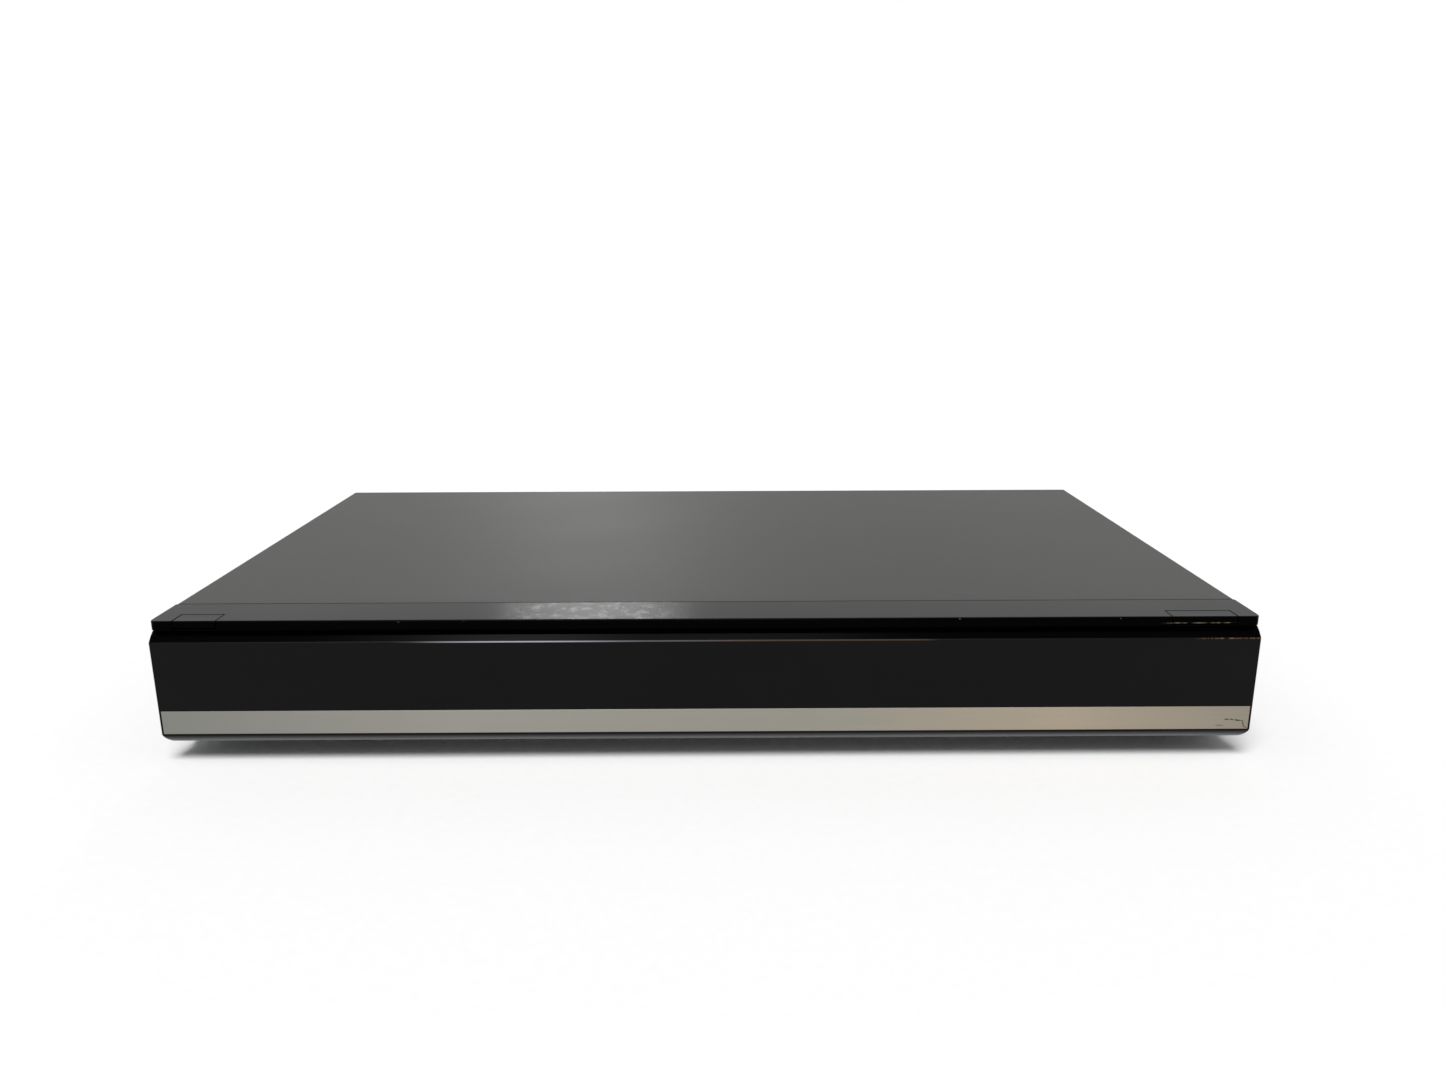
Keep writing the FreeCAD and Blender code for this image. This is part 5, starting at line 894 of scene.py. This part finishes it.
half_us = trim_high[0] - cut_lines(
    close_steps(side_bead, 5), [trim_wall - 2 * hair, trim_wall, 2.4, 3.4, 4.4, corner_share])
trim_us = cut_lines(-half_us, half_us, np.array(notches)[:, :2].ravel(), np.linspace(-160, 160, 9))
trim_vs = cut_lines(
    close_steps(front_bead, 6), [1.2, trim_wall, trim_wall + hair, 2.2, 3.0, lip_depth - hair, lip_depth],
    [*notch_backs.values(), 14.0, hollow_back, hollow_back + hair], trim_high[1] - close_steps(rear_bead, 4))
grid_u, grid_v = np.meshgrid(trim_us, trim_vs, indexing="ij")
cell_u = (trim_us[1:] + trim_us[:-1])[:, None] / 2
cell_v = (trim_vs[1:] + trim_vs[:-1])[None, :] / 2
missing = [(cell_u > left) & (cell_u < right) & (cell_v < back) for left, right, back in notches]
trim_points, trim_faces = plate(trim_us, trim_vs, *trim_heights(grid_u, grid_v), ~np.any(missing, axis=0))
trim_body = rounded_front(trim_points), trim_faces


def lip_bridge(left, right):
    """The thin lip left under a key: from the lip's lower edge to key_floor below the key's face."""
    lap, chamfer = 0.2, 0.1
    level = trim_high[2] - face_height - key_floor - np.array([chamfer, 0.0, 0.0])
    return plate([left - lap, right + lap], [0.0, chamfer, trim_wall], level, trim_low[2] + lip_rise)


bridges = [lip_bridge(left, right) for left, right, _ in notches]
settle("trim_bar", *merged(trim_body, *bridges), "case", "trim_gloss", ["top_trim"])

# %% [markdown]
# A key is a small cap that fills its notch with a hair of room all round. Its front face hangs down over
# the lip, its other sides are thin, and every upper edge is softened, more at the front than elsewhere.

# %% Plate the keys
key_bead, key_edge, dish_depth = 0.25, 1.0, 0.06
stem_across, stem_along, stem_lap = np.array([-2.5, -2.3, 2.3, 2.5]), np.array([6.7, 6.85, 7.3, 7.45]), 0.1


def key(name, low, high, back):
    """A cap over (x, y) from the notch's sides to its back, with beads on its upper edges, and its stem.

    The dish in its top is dish_depth (1 - s^2), where s goes from -1 to 1 across it, and fades out at
    its front and back.
    """
    left, right, rear = low[0], high[0], back - key_gap
    middle, reach = (left + right) / 2, (right - left) / 2 - key_edge
    side = close_steps(key_bead, 4)
    us = cut_lines(left + side, [left + key_edge, middle, right - key_edge], right - side)
    vs = cut_lines(close_steps(front_bead, 6), [1.2, trim_wall - hair, trim_wall, 4.0], rear - side)
    u, v = np.meshgrid(us, vs, indexing="ij")
    top = trim_high[2] - bead(v, front_bead)
    for distance in (rear - v, u - left, right - u):
        top = top - bead(distance, key_bead)
    dish = dish_depth * np.clip(1 - ((u - middle) / reach) ** 2, 0, 1)
    top = top - dish * np.clip((v - 1.2) * (rear - 0.6 - v) / 6.0, 0, 1)
    bottom = trim_high[2] - np.where(v < trim_wall - hair / 2, face_height, trim_wall)
    stem = plate(middle + stem_across, stem_along, trim_high[2] - trim_wall + stem_lap, low[2])
    settle(name + "_cap", *merged(plate(us, vs, top, bottom), stem), name, "trim_gloss", [name])


for name, back in notch_backs.items():
    key(name, *corners_of(name), back)

# %% [markdown]
# ## The painted cover
#
# The cover is one sheet: a flat blank with two long sides and a rear lip, slots cut in the sides while
# it is flat, then three bends. It is made the same way here. The blank is a plate measured along the
# sheet, cells are left out for the slots and for the reliefs at the rear corners, and the whole array
# of points is folded. Below the outer face a point turns on a smaller radius, which keeps the sheet's
# thickness even round the corner.

# %% Fold the cover from its blank
cover_low, cover_high = corners_of("top_cover")
sheet, bend_radius, lip_drop = 0.8, 1.6, 10.0
arc = bend_radius * np.pi / 2
flat_half = cover_high[0] - bend_radius
flat_rear = cover_high[1] - bend_radius
side_drop = cover_high[2] - bend_radius - cover_low[2]
vent_reach, vent_pitch, vent_count, vent_width, vent_low, vent_high = 82.0, 9.0, 8, 2.4, 20.0, 37.0
vent_starts = cover_high[1] - vent_reach + vent_pitch * np.arange(vent_count)
guard, rim = 0.05, 0.15


def fold(past, depth):
    """How far along and down a fold carries a point whose outer face lies this far past its start.

    It turns by a = past / radius, up to a right angle: along = (radius - depth) sin a, and
    down = radius - (radius - depth) cos a, plus what is left over past the fold.
    """
    angle = np.clip(past / bend_radius, 0, np.pi / 2)
    down = bend_radius - (bend_radius - depth) * np.cos(angle) + np.maximum(past - arc, 0)
    return (bend_radius - depth) * np.sin(angle), down


def folded(points):
    """The blank's (u, v, depth) as (x, y, z), once the sides and the rear lip are folded down."""
    u, v, depth = points.T
    past = np.abs(u) - flat_half
    out, drop = fold(past, depth)
    beyond = np.where(past > 1e-6, 0.0, v - flat_rear)
    back, rear_drop = fold(beyond, depth)
    x = np.sign(u) * (np.minimum(np.abs(u), flat_half) + out)
    y = np.where(beyond > 0, flat_rear + back, v)
    return np.stack([x, y, cover_high[2] - np.where(beyond > 0, rear_drop, drop)], -1)


corner_turns = np.linspace(0, arc, 9)
vent_ends = arc + cover_high[2] - bend_radius - np.array([vent_high, vent_low])
outer_us = flat_half + cut_lines(
    -guard, corner_turns, arc + guard, vent_ends, arc + side_drop - rim, arc + side_drop)
blank_us = cut_lines(-outer_us, outer_us, np.linspace(-180, 180, 9))
lip_end = flat_rear + arc + lip_drop - bend_radius
blank_vs = cut_lines(
    cover_low[1], cover_low[1] + rim, 80.0, vent_starts, vent_starts + vent_width, flat_rear - guard,
    flat_rear + corner_turns, cover_high[1], flat_rear + arc + guard, lip_end)
mid_u = np.abs(blank_us[1:] + blank_us[:-1])[:, None] / 2
mid_v = (blank_vs[1:] + blank_vs[:-1])[None, :] / 2
in_vent = ((mid_v[..., None] > vent_starts) & (mid_v[..., None] < vent_starts + vent_width)).any(-1)
slotted = (mid_u > flat_half + vent_ends[0]) & (mid_u < flat_half + vent_ends[1]) & in_vent
relief = (mid_u > flat_half) & (mid_u < flat_half + arc) & (mid_v > flat_rear)
beyond_side = (mid_u > flat_half) & (mid_v > cover_high[1])
blank_points, blank_faces = plate(blank_us, blank_vs, 0.0, sheet, ~(slotted | relief | beyond_side))
settle("folded_cover", folded(blank_points), blank_faces, "case", "cover_paint", ["top_cover"])

# %% [markdown]
# ## Screws and feet
#
# The cover is held by dark pan-head screws. A head is a dome over polar rings, and its cross recess is
# only a lower height near two crossing lines. The feet are turned: a soft pad with a groove above it
# where it is glued into its moulded cup.

# %% Cross-recessed screw heads
screw_radius, screw_sides, arm_half, arm_reach = 3.0, 48, 0.144, 0.555
side_screw_ys, side_screw_z = (62.0, cover_high[1] - 26.0), 12.0
rear_screw_xs, rear_screw_z = (-150.5, 0.0, 150.5), cover_high[2] - 5.0


def screw_head(height, recess):
    """Rings of a pan head, from near its middle out to its foot, with a cross-shaped pit.

    With s from 0 to 1 as the share of the radius, z = height (0.45 + 0.55 sqrt(1 - 0.9 s^2)). The pit's
    arms are arm_half wide to each side and end at arm_reach, both as shares of the radius.
    """
    share = np.array([0.1, 0.2, 0.3, 0.42, 0.55, 0.56, 0.7, 0.85, 0.94, 1.0, 1.0])[:, None]
    angle = np.linspace(0, 2 * np.pi, screw_sides, endpoint=False)
    x, y = share * np.cos(angle), share * np.sin(angle)
    pit = (np.minimum(np.abs(x), np.abs(y)) < arm_half) & (share < arm_reach)
    z = height * (0.45 + 0.55 * np.sqrt(1 - 0.9 * share ** 2)) - recess * pit
    z[-1] = 0.0
    return np.stack([screw_radius * x, screw_radius * y, z], -1)


def facing(rings, place, direction):
    """Turns rings that look along +z so that they look along a direction, and moves them to a place."""
    ahead = np.array(direction, float)
    aside = np.array([0.0, 0.0, 1.0])
    return rings @ np.array([np.cross(aside, ahead), aside, ahead]) + np.array(place)


side_head, rear_head = screw_head(0.9, 0.55), screw_head(1.5, 0.8)
heads = []
for y in side_screw_ys:
    for side in (-1, 1):
        heads.append(loft(facing(side_head, (side * cover_high[0], y, side_screw_z), (side, 0, 0))))
heads += [loft(facing(rear_head, (x, cover_high[1], rear_screw_z), (0, 1, 0))) for x in rear_screw_xs]
settle("cross_screws", *merged(*heads), "case", "cover_screw_steel", ["cover_screws"], 40.0)

# %% Turned feet
foot_low, foot_high = corners_of("feet")
foot_radius, foot_sides = 11.0, 64
foot_outline = [
    (0.5, 0.0), (8.4, 0.0), (9.2, 0.25), (9.6, 0.8), (9.65, 1.3), (9.2, 1.35), (9.2, 1.7), (10.4, 1.75),
    (10.85, 2.0), (foot_radius, 2.5), (foot_radius, 4.6), (10.9, 4.9), (10.6, 5.0), (0.5, 5.0)]
foot_x = foot_high[0] - foot_radius
foot_ys = (foot_low[1] + foot_radius, foot_high[1] - foot_radius)
feet = [turning(foot_outline, x, y, foot_sides) for x in (-foot_x, foot_x) for y in foot_ys]
settle("turned_feet", *merged(*feet), "case", "foot_plastic", ["feet"])

# %% [markdown]
# ## The floor and the light
#
# The floor is white paper. One soft lamp from above and the world's own light add up to just the level
# at which white paper renders white, so any other colour renders about as it is written and the soft
# shadow stays. The world shows plain white only to the rays that look at it, straight or in a
# reflection. A small bright window stands behind the machine: it gleams in the polished trim, left of
# the middle, and makes the paint behind the trim a little paler.

# %% Floor
def white_floor():
    """Matt white paper with the faintest of fibres."""
    b = Bench("white_floor")
    fibre = b.noise(0.004, 3.0, 0.6)
    colour = b.mix(fibre, "fafafa", "ffffff")
    paper = b.node("BsdfDiffuse", None, {"Color": colour})
    b.node("OutputMaterial", None, {"Surface": paper})
    return b.owner


floor_mesh = bpy.data.meshes.new("floor")
floor_mesh.from_pydata([(-30, -8, 0), (30, -8, 0), (30, 60, 0), (-30, 60, 0)], [], [(0, 1, 2, 3)])
floor_mesh.materials.append(white_floor())
floor = stand("floor", floor_mesh)

# %% World and lamps
# How strongly the world lights the scene, as a share of the white that it shows.
world_light = 0.32
sky = Bench("studio", world=True)
seen, mirrored, through = sky.node("LightPath", out=("Is Camera Ray", "Is Glossy Ray", "Is Transmission Ray"))
shown = seen.over(mirrored).over(through)
strength = shown * (1.0 - world_light) + world_light
backdrop = sky.node("Background", None, {"Color": "ffffff", "Strength": strength})
sky.node("OutputWorld", None, {"Surface": backdrop})
bpy.context.scene.world = sky.owner

# The window, in metres and watts, shines along the line from its place to its aim.
window_place, window_aim = np.array([-0.24, 1.47, 0.583]), np.array([-0.043, -0.11, 0.059])
window = bpy.data.lights.new("window_behind", "AREA")
window.shape, window.size, window.energy = "SQUARE", 0.28, 1.25
away = (window_place - window_aim) / np.linalg.norm(window_place - window_aim)
aside = np.cross([0.0, 0.0, 1.0], away)
aside /= np.linalg.norm(aside)
stand("window_behind", window, [aside, np.cross(away, aside), away, window_place])

# The overhead lamp is a broad sun, leaning a little back and to one side.
sun = bpy.data.lights.new("overhead", "SUN")
sun.energy, sun.angle = 2.45, math.radians(32.0)
stand("overhead", sun).rotation_euler = (math.radians(24.0), math.radians(-6.0), 0.0)
bpy.context.scene.view_settings.view_transform = "Standard"
